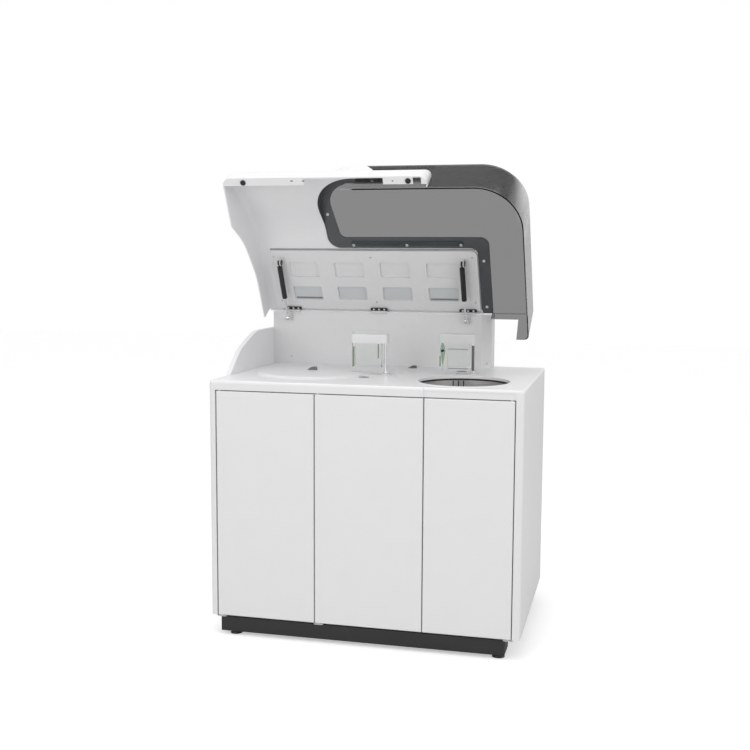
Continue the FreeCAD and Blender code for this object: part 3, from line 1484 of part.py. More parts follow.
def make_shelf():
    """Middle shelf on brackets from the posts, with two partitions down to the base tray."""
    z = (shelf_height, shelf_height + shelf_thickness)
    inner_left = post_left + tube_size
    inner_right = post_right - tube_size
    plate = block((inner_left, inner_right), (post_front + shelf_front_inset, post_back), z)
    walls = []
    for x in (door_split_left, door_split_right):
        walls.append(block((x - partition_thickness / 2, x + partition_thickness / 2),
                           (post_front + shelf_front_inset, post_back - tube_size), (base_top, z[0])))
    return union([plate] + walls)


def unit(corner, width_share, depth_and_height):
    """Sheet-metal box with a row of slots in its front."""
    x, y, z = corner
    size = (width_share * half_width,) + depth_and_height
    outer = block((x, x + size[0]), (y, y + size[1]), (z, z + size[2]))
    inner = block((x + unit_sheet, x + size[0] - unit_sheet), (y + unit_sheet, y + size[1] - unit_sheet),
                  (z + unit_sheet, z + size[2] - unit_sheet))
    pitch = size[0] / (unit_slot_count + 1)
    slots = []
    for index in range(unit_slot_count):
        left = x + pitch * (index + 1) - unit_slot_width / 2
        slots.append(block((left, left + unit_slot_width), (y - cut_overrun, y + unit_sheet + cut_overrun),
                           (z + size[2] / 4, z + size[2] * 3 / 4)))
    return outer.cut([inner] + slots)


def unit_front():
    return post_front + shelf_front_inset + tank_gap


def make_power_unit():
    return unit((post_left + tube_size + tank_gap, unit_front(), shelf_height + shelf_thickness), power_unit_share,
                power_unit_size)


def make_control_unit():
    return unit((door_split_left + tank_gap, unit_front(), shelf_height + shelf_thickness), control_unit_share,
                control_unit_size)


def make_cooling_unit():
    return unit((door_split_right + tank_gap, unit_front(), base_top), cooling_unit_share, cooling_unit_size)


def make_syringe_unit():
    """Pump block with glass syringes and their drive rods on its front."""
    x = door_split_left + tank_gap
    y = unit_front() + syringe_radius * 2
    size = (syringe_unit_share * half_width,) + syringe_unit_size
    body = block((x, x + size[0]), (y, y + size[1]), (base_top, base_top + size[2]))
    hollow = block((x + unit_sheet, x + size[0] - unit_sheet), (y + unit_sheet, y + size[1] + cut_overrun),
                   (base_top + unit_sheet, base_top + size[2] - unit_sheet))
    parts = [body.cut(hollow)]
    for index in range(syringe_count):
        middle = x + size[0] * (index + 1) / (syringe_count + 1)
        top = base_top + size[2] - syringe_radius
        parts.append(rod(syringe_radius, (middle, y - syringe_radius + unit_sheet, top - syringe_length), (0, 0, 1), syringe_length))
        parts.append(rod(syringe_rod_radius, (middle, y - syringe_radius + unit_sheet, top - syringe_length * 3 / 2),
                         (0, 0, 1), syringe_length / 2))
        foot = block((middle - syringe_radius, middle + syringe_radius), (y - syringe_radius * 2, y),
                     (top - syringe_length * 3 / 2 - syringe_rod_radius, top - syringe_length * 3 / 2))
        parts.append(foot)
    return union(parts)


def make_tanks():
    """Water and waste tanks side by side on the base tray, each with a screw cap."""
    solids = []
    tank_width = tank_width_share * half_width
    for index in range(2):
        left = post_left + tube_size + tank_gap + (tank_width + tank_gap) * index
        x = (left, left + tank_width)
        y = (unit_front(), unit_front() + tank_depth)
        z = (base_top, base_top + tank_height)
        outer = prism(rectangle(x, y, tank_radius), "plan", z)
        centre = ((x[0] + x[1]) / 2, y[0] + tank_width / 2)
        neck = rod(tank_neck_radius, centre + (z[1],), (0, 0, 1), tank_cap_height / 2)
        cap = rod(tank_cap_radius, centre + (z[1] + tank_cap_height / 2,), (0, 0, 1), tank_cap_height)
        wall = tank_wall
        inner = prism(rectangle((x[0] + wall, x[1] - wall), (y[0] + wall, y[1] - wall), tank_radius - wall),
                      "plan", (z[0] + wall, z[1] - wall))
        solids.append(union([outer, neck, cap]).cut(inner))
    return group(solids)


def make_inlet():
    """Mains inlet with its three blades and the well of the rocker switch above it."""
    x = (inlet_x - inlet_width / 2, inlet_x + inlet_width / 2)
    z = (inlet_z - inlet_height / 2, inlet_z + inlet_height / 2)
    flange = block(x, (cover_back_y, cover_back_y + inlet_flange), z)
    body = block((x[0] + inlet_flange, x[1] - inlet_flange), (cover_back_y - inlet_depth, cover_back_y),
                 (z[0] + inlet_flange, z[1] - inlet_flange))
    socket_x = inlet_x + inlet_width / 4 - inlet_flange
    face_y = cover_back_y + inlet_flange
    socket = block((socket_x - socket_width / 2, socket_x + socket_width / 2), (face_y - socket_depth, face_y + cut_overrun),
                   (inlet_z - socket_height / 2, inlet_z + socket_height / 2))
    rocker_well = block((rocker_x() - rocker_width / 2 - rocker_gap, rocker_x() + rocker_width / 2 + rocker_gap),
                        (face_y - rocker_well_depth, face_y + cut_overrun),
                        (inlet_z - rocker_height / 2 - rocker_gap, inlet_z + rocker_height / 2 + rocker_gap))
    shell = union([flange, body]).cut([socket, rocker_well])
    blades = []
    for index in (-1, 0, 1):
        middle = socket_x + index * socket_width / 4
        rise = socket_blade_height / 2 if index == 0 else 0
        blades.append(block((middle - socket_blade_width / 2, middle + socket_blade_width / 2),
                            (face_y - socket_depth, face_y - socket_depth + socket_blade_length),
                            (inlet_z + rise - socket_blade_height / 2, inlet_z + rise + socket_blade_height / 2)))
    pin_start = rocker_x() - rocker_width / 2 - rocker_gap
    pin = rod(rocker_pin_radius, (pin_start, rocker_axis_y(), inlet_z), (1, 0, 0), rocker_width + 2 * rocker_gap)
    return union([shell, pin] + blades)


def rocker_x():
    return inlet_x - inlet_width / 4


def rocker_axis_y():
    return cover_back_y + inlet_flange - rocker_depth + rocker_pin_radius * 2


def make_rocker():
    """Rocker whose two faces meet at a shallow angle over its pin."""
    face_y = cover_back_y + inlet_flange
    half = rocker_height / 2
    corners = [(face_y - rocker_depth, inlet_z - half + rocker_rise, 0), (face_y, inlet_z - half, 0),
               (face_y + rocker_rise / 2, inlet_z, 0), (face_y + rocker_rise, inlet_z + half - rocker_gap, 0),
               (face_y - rocker_depth, inlet_z + half - rocker_rise, 0)]
    body = prism(corners, "side", (rocker_x() - rocker_width / 2, rocker_x() + rocker_width / 2))
    bore = rod(rocker_pin_radius + pin_clearance, (rocker_x() - rocker_width, rocker_axis_y(), inlet_z), (1, 0, 0),
               rocker_width * 2)
    return body.cut(bore)


def make_fittings():
    """Hose fittings for water, waste and drain, screwed through the rear cover."""
    solids = []
    for x, z in fitting_places():
        nut_y = cover_back_y
        body = rod(fitting_radius, (x, cover_back_y - fitting_length / 2, z), (0, 1, 0), fitting_length * 3 / 2)
        nut = rod(fitting_nut_radius, (x, nut_y, z), (0, 1, 0), fitting_nut_length)
        bore = rod(fitting_bore_radius, (x, cover_back_y - fitting_length, z), (0, 1, 0), fitting_length * 3)
        solids.append(union([body, nut]).cut(bore))
    return group(solids)


def make_parts():
    """Every node by name."""
    parts = {
        "frame": make_frame(),
        "base_plate": make_base_plate(),
        "levelling_feet": make_feet(),
        "kick_plate": make_kick_plate(),
        "left_side_panel": side_panel(-1),
        "right_side_panel": side_panel(1),
        "rear_cover": make_rear_cover(),
        "fascia": make_fascia(),
        "door_pivot_brackets": make_door_brackets(),
        "door_catches": make_door_catches(),
        "deck_moulding": make_deck(),
        "left_wing": make_wing(),
        "rear_housing": make_housing(),
        "lid_moulding": opened(make_moulding()),
        "lid_window": opened(make_window()),
        "window_clamp": opened(make_clamp()),
        "lid_inner_panel": opened(make_inner_panel()),
        "lid_bumpers": opened(make_bumpers()),
        "hinge_fixed_leaves": make_fixed_leaves(),
        "hinge_moving_leaves": opened(make_moving_leaves()),
        "strut_lower_studs": make_lower_studs(),
        "strut_upper_brackets": opened(make_upper_brackets()),
        "strut_left_rod": make_strut_rod(strut_left_x),
        "strut_right_rod": make_strut_rod(strut_right_x),
        "strut_left_tube": make_strut_tube(strut_left_x),
        "strut_right_tube": make_strut_tube(strut_right_x),
        "reagent_rim": make_rim(),
        "reagent_tub": make_tub(),
        "reagent_rotor": make_rotor(),
        "reagent_bottles": make_bottles(),
        "rotor_drives": make_drives(),
        "reaction_bath": make_reaction_bath(),
        "reaction_rotor": make_reaction_rotor(),
        "reaction_cover": make_reaction_cover(),
        "deck_wells": make_wells(),
        "shelf": make_shelf(),
        "power_supply": make_power_unit(),
        "control_unit": make_control_unit(),
        "cooling_unit": make_cooling_unit(),
        "syringe_pump": make_syringe_unit(),
        "fluid_tanks": make_tanks(),
        "power_inlet": make_inlet(),
        "rocker_switch": make_rocker(),
        "hose_fittings": make_fittings(),
    }
    for name in door_spans():
        parts[name] = make_door(name)
    for arm in ARM_PLACES:
        parts[arm + "_arm_guide"] = make_arm_guide(arm)
        parts[arm + "_arm_sleeve"] = make_arm_sleeve(arm)
        parts[arm + "_arm_shaft"] = make_arm_shaft(arm)
        parts[arm + "_arm_cover"] = make_arm_cover(arm)
        parts[arm + "_arm_guard"] = make_guard(arm)
    parts["probe_needle_sample"] = make_needle("sample")
    parts["probe_needle_reagent"] = make_needle("reagent")
    return parts


os.makedirs("parts", exist_ok=True)
for node, shape in make_parts().items():
    shape.exportStep("parts/" + node + ".step")
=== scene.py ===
import json
import math

import bmesh
import bpy
from mathutils import Matrix, Vector


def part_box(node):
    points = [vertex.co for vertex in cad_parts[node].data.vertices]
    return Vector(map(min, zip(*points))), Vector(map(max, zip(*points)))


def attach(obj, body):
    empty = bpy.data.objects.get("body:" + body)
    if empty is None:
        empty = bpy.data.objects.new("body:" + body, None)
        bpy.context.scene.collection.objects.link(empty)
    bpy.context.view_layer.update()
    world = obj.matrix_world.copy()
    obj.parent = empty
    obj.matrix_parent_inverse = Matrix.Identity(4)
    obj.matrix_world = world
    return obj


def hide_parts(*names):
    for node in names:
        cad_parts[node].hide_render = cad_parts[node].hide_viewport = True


# A floor-standing chemistry analyzer with its lid open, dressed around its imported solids. Metres.

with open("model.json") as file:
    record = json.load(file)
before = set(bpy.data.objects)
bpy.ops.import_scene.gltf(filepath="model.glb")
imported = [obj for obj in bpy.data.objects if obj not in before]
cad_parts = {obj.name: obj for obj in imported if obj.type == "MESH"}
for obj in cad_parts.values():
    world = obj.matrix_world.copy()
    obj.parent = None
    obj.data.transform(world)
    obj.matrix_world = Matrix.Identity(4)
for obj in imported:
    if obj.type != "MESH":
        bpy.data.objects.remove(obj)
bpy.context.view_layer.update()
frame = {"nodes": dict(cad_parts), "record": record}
nodes = frame["nodes"]

# Photograph
image_pixels = 750
focal_pixels = 1077.5
camera_place = (0.821, -3.519, 1.230)
camera_pitch_deg = 6.33
camera_yaw_deg = 13.76
camera_roll_deg = 0.27
sensor_mm = 36.0

# The lid's own frame: X along the hinge, Y away behind it, Z up through its flat top
hinge_place = Vector((0.0, 0.235, 1.029))
lid_open_deg = 62.0
lid_fall_deg = 2.3
lid_closed_to_rest = (Matrix.Translation(hinge_place) @ Matrix.Rotation(math.radians(-lid_open_deg), 4, "X")
                      @ Matrix.Translation(-hinge_place))
lid_level_to_rest = (Matrix.Translation(hinge_place)
                     @ Matrix.Rotation(math.radians(lid_fall_deg - lid_open_deg), 4, "X"))
flip = Matrix.Rotation(math.pi, 4, "X")
facing_front = Matrix.Rotation(math.pi / 2, 4, "X")
facing_back = Matrix.Rotation(-math.pi / 2, 4, "X")
deck_z = 0.835
deck_mm = 835

# Undersides of the lid's parts above the hinge line, in millimetres
window_low = 15.0
pocket_floor = 12.0
clamp_low = 11.0
panel_low = 5.0
leaf_low = 2.0

# Middles of the three hinges across the lid, in millimetres
hinge_middles = (-404.0, -83.0, 238.0)

# Screw heads: radius and height
CLAMP_SCREW = (0.0052, 0.0026)
COVER_SCREW = (0.0042, 0.0022)
SMALL_SCREW = (0.0036, 0.0014)

# Where the window's tint starts and ends its changes, from the hinge or across the lid; the rim and corner zones
# take a painted highlight
SKIRT_AHEAD = (0.545, 0.555)
BEHIND_LIP_ABOVE = (-0.110, -0.130)
SKIRT_RIM_ABOVE = (-0.1585, -0.1615)
PAST_CLAW_X = (0.166, 0.172)
CORNER_AHEAD = (0.34, 0.50)
CORNER_X = (0.415, 0.453)

# Plain colours, linear
WHITE_PAINT = (0.775, 0.775, 0.782)
WHITE_PLASTIC = (0.83, 0.83, 0.838)
LIGHT_GREY = (0.76, 0.76, 0.766)
CHARCOAL = (0.014, 0.014, 0.015)
BLACK = (0.012, 0.012, 0.013)
SMOKE = (0.25, 0.25, 0.252)
SMOKE_SKIRT = (0.29, 0.29, 0.292)
# Painted highlight for the skirt's lower rim and the window's right front corner
SMOKE_HIGHLIGHT = (0.90, 0.90, 0.902)
SMOKE_CLEAR = (0.85, 0.85, 0.852)
CLAMP_GREY = (0.074, 0.078, 0.082)


def build_material(name):
    """A new node material, with its nodes and links."""
    material = bpy.data.materials.new(name)
    material.use_nodes = True
    return material, material.node_tree.nodes, material.node_tree.links


def add_texture(tree_nodes, links, kind, scale, stretch=(1, 1, 1)):
    """A texture in object coordinates, stretched along the axes."""
    place = tree_nodes.new("ShaderNodeTexCoord")
    mapping = tree_nodes.new("ShaderNodeMapping")
    mapping.inputs["Scale"].default_value = stretch
    texture = tree_nodes.new(kind)
    texture.inputs["Scale"].default_value = scale
    links.new(place.outputs["Object"], mapping.inputs["Vector"])
    links.new(mapping.outputs["Vector"], texture.inputs["Vector"])
    return texture


def surface(name, colour, roughness, metallic=0.0, grain=900.0, bump=0.02, mottle=0.008, stretch=(1, 1, 1),
            coat=0.0):
    """Opaque finish: a fine grain in the normal, a faint mottle in the colour and a little spread of roughness."""
    roughness_span = 0.08
    mottle_scale = 14.0
    material, tree_nodes, links = build_material(name)
    shader = tree_nodes["Principled BSDF"]
    shader.inputs["Metallic"].default_value = metallic
    shader.inputs["Coat Weight"].default_value = coat
    mottle_noise = add_texture(tree_nodes, links, "ShaderNodeTexNoise", mottle_scale, stretch)
    ramp = tree_nodes.new("ShaderNodeValToRGB")
    ramp.color_ramp.elements[0].position = 0.3
    ramp.color_ramp.elements[1].position = 0.7
    ramp.color_ramp.elements[0].color = tuple(c * (1 - mottle) for c in colour) + (1,)
    ramp.color_ramp.elements[1].color = tuple(min(1.0, c * (1 + mottle / 2)) for c in colour) + (1,)
    links.new(mottle_noise.outputs["Fac"], ramp.inputs["Fac"])
    links.new(ramp.outputs["Color"], shader.inputs["Base Color"])
    grain_noise = add_texture(tree_nodes, links, "ShaderNodeTexNoise", grain, stretch)
    grain_noise.inputs["Detail"].default_value = 3.0
    spread = tree_nodes.new("ShaderNodeMapRange")
    spread.inputs["To Min"].default_value = roughness - roughness_span / 2
    spread.inputs["To Max"].default_value = roughness + roughness_span / 2
    links.new(grain_noise.outputs["Fac"], spread.inputs["Value"])
    links.new(spread.outputs["Result"], shader.inputs["Roughness"])
    height = tree_nodes.new("ShaderNodeBump")
    height.inputs["Strength"].default_value = bump
    height.inputs["Distance"].default_value = 0.001
    links.new(grain_noise.outputs["Fac"], height.inputs["Height"])
    links.new(height.outputs["Normal"], shader.inputs["Normal"])
    return material


def clear(name, colour, ior, gloss):
    """Clear or tinted sheet: light passes through it, with a faint cloud in its tint."""
    haze = 0.01
    material, tree_nodes, links = build_material(name)
    shader = tree_nodes["Principled BSDF"]
    shader.inputs["Transmission Weight"].default_value = 1.0
    shader.inputs["IOR"].default_value = ior
    shader.inputs["Roughness"].default_value = 0.0
    shader.inputs["Specular IOR Level"].default_value = gloss
    noise = add_texture(tree_nodes, links, "ShaderNodeTexNoise", 6.0)
    ramp = tree_nodes.new("ShaderNodeValToRGB")
    ramp.color_ramp.elements[0].color = tuple(c * (1 - haze) for c in colour) + (1,)
    ramp.color_ramp.elements[1].color = colour + (1,)
    links.new(noise.outputs["Fac"], ramp.inputs["Fac"])
    links.new(ramp.outputs["Color"], shader.inputs["Base Color"])
    return material


def ramp_over(tree_nodes, links, value, start, end):
    """A factor that rises from 0 to 1 while the value goes from start to end."""
    ramp = tree_nodes.new("ShaderNodeMapRange")
    ramp.inputs["From Min"].default_value = start
    ramp.inputs["From Max"].default_value = end
    links.new(value, ramp.inputs["Value"])
    return ramp.outputs["Result"]


def both(tree_nodes, links, first, second):
    """The product of two factors, which is 1 only where both are."""
    product = tree_nodes.new("ShaderNodeMath")
    product.operation = "MULTIPLY"
    links.new(first, product.inputs[0])
    links.new(second, product.inputs[1])
    return product.outputs[0]


def blend_colour(tree_nodes, links, factor, below, above):
    """Goes from the colour of a socket to a plain colour as the factor rises."""
    mix = tree_nodes.new("ShaderNodeMix")
    mix.data_type = "RGBA"
    links.new(factor, mix.inputs["Factor"])
    links.new(below, mix.inputs["A"])
    mix.inputs["B"].default_value = above + (1,)
    return mix.outputs["Result"]


def reach_along(tree_nodes, links, place, direction):
    """How far each point lies along a direction."""
    reach = tree_nodes.new("ShaderNodeVectorMath")
    reach.operation = "DOT_PRODUCT"
    reach.inputs[1].default_value = direction
    links.new(place.outputs["Object"], reach.inputs[0])
    return reach.outputs["Value"]


def smoked(name):
    """Smoked acrylic, whose tint changes along the front skirt and behind the lip, with a painted highlight along
    the skirt's lower rim and at the right front corner.
    """
    material = clear(name, SMOKE, ior=1.1, gloss=0.4)
    tree_nodes, links = material.node_tree.nodes, material.node_tree.links
    shader = tree_nodes["Principled BSDF"]
    drawn = shader.inputs["Base Color"].links[0].from_socket
    place = tree_nodes.new("ShaderNodeTexCoord")
    ahead_axis = lid_level_to_rest.to_3x3() @ Vector((0, -1, 0))
    above_axis = lid_level_to_rest.to_3x3() @ Vector((0, 0, 1))
    ahead, above, across = (reach_along(tree_nodes, links, place, axis)
                            for axis in (ahead_axis, above_axis, Vector((1, 0, 0))))

    def zone(value, span, origin=0.0):
        return ramp_over(tree_nodes, links, value, origin + span[0], origin + span[1])

    hinge_ahead, hinge_above = hinge_place.dot(ahead_axis), hinge_place.dot(above_axis)
    skirt = zone(ahead, SKIRT_AHEAD, hinge_ahead)
    behind_lip = both(tree_nodes, links, skirt, zone(above, BEHIND_LIP_ABOVE, hinge_above))
    past_claw = both(tree_nodes, links, skirt, zone(across, PAST_CLAW_X))
    # Painted highlight: the skirt's lowest edge and the right front corner are lightened towards near white
    rim = both(tree_nodes, links, skirt, zone(above, SKIRT_RIM_ABOVE, hinge_above))
    corner = both(tree_nodes, links, zone(ahead, CORNER_AHEAD, hinge_ahead), zone(across, CORNER_X))
    tints = ((behind_lip, SMOKE_CLEAR), (past_claw, SMOKE_SKIRT), (rim, SMOKE_HIGHLIGHT), (corner, SMOKE_HIGHLIGHT))
    for factor, tint in tints:
        drawn = blend_colour(tree_nodes, links, factor, drawn, tint)
    links.new(drawn, shader.inputs["Base Color"])
    return material


finish = {
    "white_panel": surface("white_panel", WHITE_PAINT, 0.42, grain=700.0, bump=0.05),
    "white_moulding": surface("white_moulding", WHITE_PLASTIC, 0.36, grain=400.0, bump=0.02, coat=0.1),
    "inner_sheet": surface("inner_sheet", LIGHT_GREY, 0.45, grain=900.0, bump=0.05, mottle=0.015),
    "dark_plinth": surface("dark_plinth", CHARCOAL, 0.5, grain=900.0, bump=0.12, mottle=0.08),
    "frame_steel": surface("frame_steel", (0.30, 0.31, 0.33), 0.45, grain=800.0, bump=0.08, mottle=0.04),
    "plain_steel": surface("plain_steel", (0.56, 0.56, 0.57), 0.36, metallic=1.0, grain=160.0, bump=0.04,
                           stretch=(1, 1, 14), mottle=0.06),
    "bright_steel": surface("bright_steel", (0.78, 0.78, 0.79), 0.16, metallic=1.0, grain=300.0, bump=0.01,
                            mottle=0.03),
    "dark_frame": surface("dark_frame", CLAMP_GREY, 0.38, grain=700.0, bump=0.08, mottle=0.1),
    "black_metal": surface("black_metal", BLACK, 0.35, grain=900.0, bump=0.05, mottle=0.2),
    "rubber": surface("rubber", (0.018, 0.018, 0.018), 0.65, grain=1200.0, bump=0.2, mottle=0.2),
    "grey_plastic": surface("grey_plastic", (0.34, 0.345, 0.355), 0.4, grain=900.0, bump=0.08, mottle=0.03),
    "tank_plastic": surface("tank_plastic", (0.72, 0.76, 0.78), 0.38, grain=500.0, bump=0.04, mottle=0.03),
    "bottle_plastic": surface("bottle_plastic", (0.72, 0.68, 0.60), 0.3, grain=500.0, bump=0.03, mottle=0.03),
    "black_plastic": surface("black_plastic", (0.03, 0.03, 0.03), 0.4, grain=1100.0, bump=0.15, mottle=0.2),
    "smoked_sheet": smoked("smoked_sheet"),
    "clear_sheet": clear("clear_sheet", (0.985, 0.995, 0.988), ior=1.12, gloss=0.2),
    "bar_dark": surface("bar_dark", (0.030, 0.042, 0.045), 0.22, grain=700.0, bump=0.03, mottle=0.1),
    "screw_grey": surface("screw_grey", (0.72, 0.72, 0.73), 0.3, grain=600.0, bump=0.02, mottle=0.03),
    "lining_grey": surface("lining_grey", (0.085, 0.086, 0.088), 0.4, grain=700.0, bump=0.06, mottle=0.05),
    "pale_plastic": surface("pale_plastic", (0.66, 0.66, 0.665), 0.4, grain=900.0, bump=0.05, mottle=0.02),
    "pale_cap": surface("pale_cap", (0.72, 0.72, 0.725), 0.35, grain=500.0, bump=0.02),
    "pocket_tint": surface("pocket_tint", (0.62, 0.64, 0.65), 0.4, grain=800.0, bump=0.03, mottle=0.02),
    "pocket_shade": surface("pocket_shade", (0.20, 0.225, 0.235), 0.5, grain=800.0, bump=0.03, mottle=0.04),
    "grip_grey": surface("grip_grey", (0.13, 0.13, 0.134), 0.3, grain=900.0, bump=0.05, mottle=0.1),
    "green_edge": surface("green_edge", (0.17, 0.27, 0.14), 0.25, grain=300.0, bump=0.01, mottle=0.05),
    "green_clear": clear("green_clear", (0.50, 0.66, 0.52), ior=1.2, gloss=0.4),
    "cream_plastic": surface("cream_plastic", (0.78, 0.74, 0.64), 0.35, grain=600.0, bump=0.03, mottle=0.03),
}


# Nodes whose tone in the photograph differs from their slot's
own_finish = {
    "sample_arm_guide": "pale_plastic",
    "reagent_arm_guide": "pale_plastic",
    "sample_arm_cover": "pale_cap",
    "reagent_arm_cover": "pale_plastic",
    "hinge_fixed_leaves": "pale_cap",
    "hinge_moving_leaves": "pale_cap",
    "strut_lower_studs": "pale_cap",
    "strut_upper_brackets": "screw_grey",
}


def dress_cad():
    """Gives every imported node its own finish, or else that of its material slot."""
    for part in frame["record"]["subparts"]:
        node = nodes[part["node"]]
        node.data.materials.clear()
        node.data.materials.append(finish[own_finish.get(part["node"], part["material_slot"])])


def add_piece(name, mesh_data, slot, body):
    """Turns the drawn faces into a smooth-shaded piece that rides on a body."""
    bmesh.ops.recalc_face_normals(mesh_data, faces=mesh_data.faces)
    mesh = bpy.data.meshes.new(name)
    mesh_data.to_mesh(mesh)
    mesh_data.free()
    mesh.materials.append(finish[slot])
    piece = bpy.data.objects.new(name, mesh)
    bpy.context.collection.objects.link(piece)
    mesh.shade_smooth()
    mesh.set_sharp_from_angle(angle=math.radians(35))
    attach(piece, body)
    return piece


def lathe(mesh_data, profile, place, steps=18):
    """Turns a profile of (radius, height) pairs about the Z axis of its place."""
    rings = []
    for radius, height in profile:
        if radius == 0:
            rings.append([mesh_data.verts.new(place @ Vector((0, 0, height)))])
            continue
        ring = []
        for step in range(steps):
            angle = math.tau * step / steps
            point = Vector((radius * math.cos(angle), radius * math.sin(angle), height))
            ring.append(mesh_data.verts.new(place @ point))
        rings.append(ring)
    for low, high in zip(rings, rings[1:]):
        for step in range(steps):
            after = (step + 1) % steps
            corners = [low[step % len(low)], low[after % len(low)],
                       high[after % len(high)], high[step % len(high)]]
            mesh_data.faces.new(list(dict.fromkeys(corners)))


def rounded(width, depth, radius, steps=5):
    """Outline of a rectangle with rounded corners about the origin."""
    points = []
    for quarter, (sx, sy) in enumerate(((1, 1), (-1, 1), (-1, -1), (1, -1))):
        centre = (sx * (width / 2 - radius), sy * (depth / 2 - radius))
        for step in range(steps + 1):
            angle = (quarter + step / steps) * math.pi / 2
            points.append((centre[0] + radius * math.cos(angle), centre[1] + radius * math.sin(angle)))
    return points


def join_rings(mesh_data, rings):
    """Walls between neighbouring rings of corners."""
    for first, second in zip(rings, rings[1:]):
        for index in range(len(first)):
            after = (index + 1) % len(first)
            mesh_data.faces.new((first[index], first[after], second[after], second[index]))


def close_ends(mesh_data, rings):
    """End faces on the first and the last ring."""
    mesh_data.faces.new(list(reversed(rings[0])))
    mesh_data.faces.new(rings[-1])


def slab(mesh_data, points, low, high, place, edge=0.0):
    """Plate of an outline between two heights, its upper edge chamfered."""
    middle_x = sum(p[0] for p in points) / len(points)
    middle_y = sum(p[1] for p in points) / len(points)
    levels = [(low, 0.0), (high - edge, 0.0), (high, edge)] if edge else [(low, 0.0), (high, 0.0)]
    rings = []
    for height, inward in levels:
        ring = []
        for x, y in points:
            away = math.hypot(x - middle_x, y - middle_y)
            shrink = 1 - inward / away if away else 1
            point = Vector((middle_x + (x - middle_x) * shrink, middle_y + (y - middle_y) * shrink, height))
            ring.append(mesh_data.verts.new(place @ point))
        rings.append(ring)
    join_rings(mesh_data, rings)
    close_ends(mesh_data, rings)


def screw_profile(radius, height):
    """Pan head with a round recess in its middle."""
    return [(0, height * 0.3), (radius * 0.34, height * 0.3), (radius * 0.42, height), (radius * 0.74, height),
            (radius * 0.95, height * 0.6), (radius, 0), (0, 0)]


def add_screws(name, places, head, slot, body):
    """One piece of equal screw heads, one at each place."""
    screws = bmesh.new()
    for place in places:
        lathe(screws, screw_profile(*head), place)
    add_piece(name, screws, slot, body)


def under_lid(x, ahead, above):
    """Place on the lid's underside, in millimetres from the hinge, facing down out of it."""
    return lid_level_to_rest @ Matrix.Translation((x / 1000, -ahead / 1000, above / 1000)) @ flip


def standing(x, y, z):
    """Upright place in the cabinet, in millimetres."""
    return Matrix.Translation((x / 1000, y / 1000, z / 1000))


def dress_lid():
    """Screws, gasket, pocket floors and hinge bars under the lid."""
    clamp_screws = [(-50.8, 509.8), (-222.0, 386.8), (-144.8, 267.7), (43.0, 268.2), (229.8, 268.6), (303.6, 206.8),
                    (303.8, 21.7)]
    add_screws("clamp_screws", [under_lid(x, ahead, clamp_low) for x, ahead in clamp_screws], CLAMP_SCREW,
               "screw_grey", "lid")
    panel_screws = [(-89.1, 38.9), (-90.2, 221.7), (-443.7, 39.7), (265.5, 42.2), (-444.2, 222.5), (264.8, 223.7)]
    add_screws("panel_screws", [under_lid(x, ahead, panel_low) for x, ahead in panel_screws], SMALL_SCREW,
               "plain_steel", "lid")
    bars = bmesh.new()
    for middle in hinge_middles:
        slab(bars, rounded(0.062, 0.0106, 0.003), -0.0002, 0.003, under_lid(middle, 10.8, leaf_low), edge=0.0006)
    add_piece("hinge_bars", bars, "black_metal", "lid")
    bar_low = leaf_low - 3.0
    leaf_screws = [under_lid(middle + step, 11.0, bar_low) for middle in hinge_middles for step in (-19, 0, 19)]
    add_screws("leaf_screws", leaf_screws, SMALL_SCREW, "screw_grey", "lid")
    bar = bmesh.new()
    slab(bar, rounded(0.392, 0.019, 0.009), 0, 0.0018, under_lid(43, 274.5, clamp_low), edge=0.0012)
    add_piece("clamp_bar", bar, "bar_dark", "lid")
    foot = bmesh.new()
    slab(foot, rounded(0.036, 0.026, 0.002), 0, 0.0038, under_lid(306, 7, window_low), edge=0.001)
    add_piece("clamp_foot", foot, "dark_frame", "lid")
    seam = bmesh.new()
    slab(seam, rounded(0.738, 0.0028, 0.001), -0.0008, 0.0034, under_lid(-86, 249.4, window_low), edge=0.0006)
    add_piece("panel_gasket", seam, "grey_plastic", "lid")
    tint = bmesh.new()
    shade = bmesh.new()
    for x, shade_lined in ((-339.0, True), (-174.0, False), (-9.0, False), (156.0, True)):
        slab(tint, rounded(0.103, 0.052, 0.007), -0.0003, 0.0009, under_lid(x, 73.5, pocket_floor), edge=0.0006)
        # Painted shade: a thin dark line along the pocket's edge, where shade falls
        if shade_lined:
            slab(shade, rounded(0.098, 0.0056, 0.002), 0.0006, 0.0016, under_lid(x, 50.6, pocket_floor),
                 edge=0.0004)
    add_piece("pocket_floors", tint, "pocket_tint", "lid")
    add_piece("pocket_slots", shade, "pocket_shade", "lid")
    marks = bmesh.new()
    for x, y, length in ((-264.6, -359.0, 0.009), (-226.5, -358.6, 0.009), (64.0, -355.5, 0.006)):
        slab(marks, rounded(length, 0.004, 0.0018), -0.0001, 0.0008,
             lid_closed_to_rest @ standing(x, y, deck_mm + 3) @ flip, edge=0.0003)
    add_piece("lip_clips", marks, "pocket_shade", "lid")
    buttons = bmesh.new()
    for x in (-429.0, 113.0):
        lathe(buttons, screw_profile(0.0042, 0.0012),
              lid_closed_to_rest @ standing(x, -355, deck_mm + 0.3) @ flip)
    add_piece("bumper_screws", buttons, "black_metal", "lid")


def lid_inner_height(y):
    """Height of the closed lid's inner surface over y, in millimetres."""
    wall, bend_drop, bend_reach = 5.0, 6.0, 30
    flat = 1034.2 + (y + 110) * math.tan(math.radians(lid_fall_deg))
    slope = 901 + (y + 370) * 0.5115
    return min(flat, slope) - wall - bend_drop * math.exp(-abs(flat - slope) / bend_reach)


def closed_lid_ring(mesh_data, corners):
    """Corners placed in the closed lid, in millimetres, and carried to where the lid rests."""
    return [mesh_data.verts.new(lid_closed_to_rest @ (Vector(corner) / 1000)) for corner in corners]


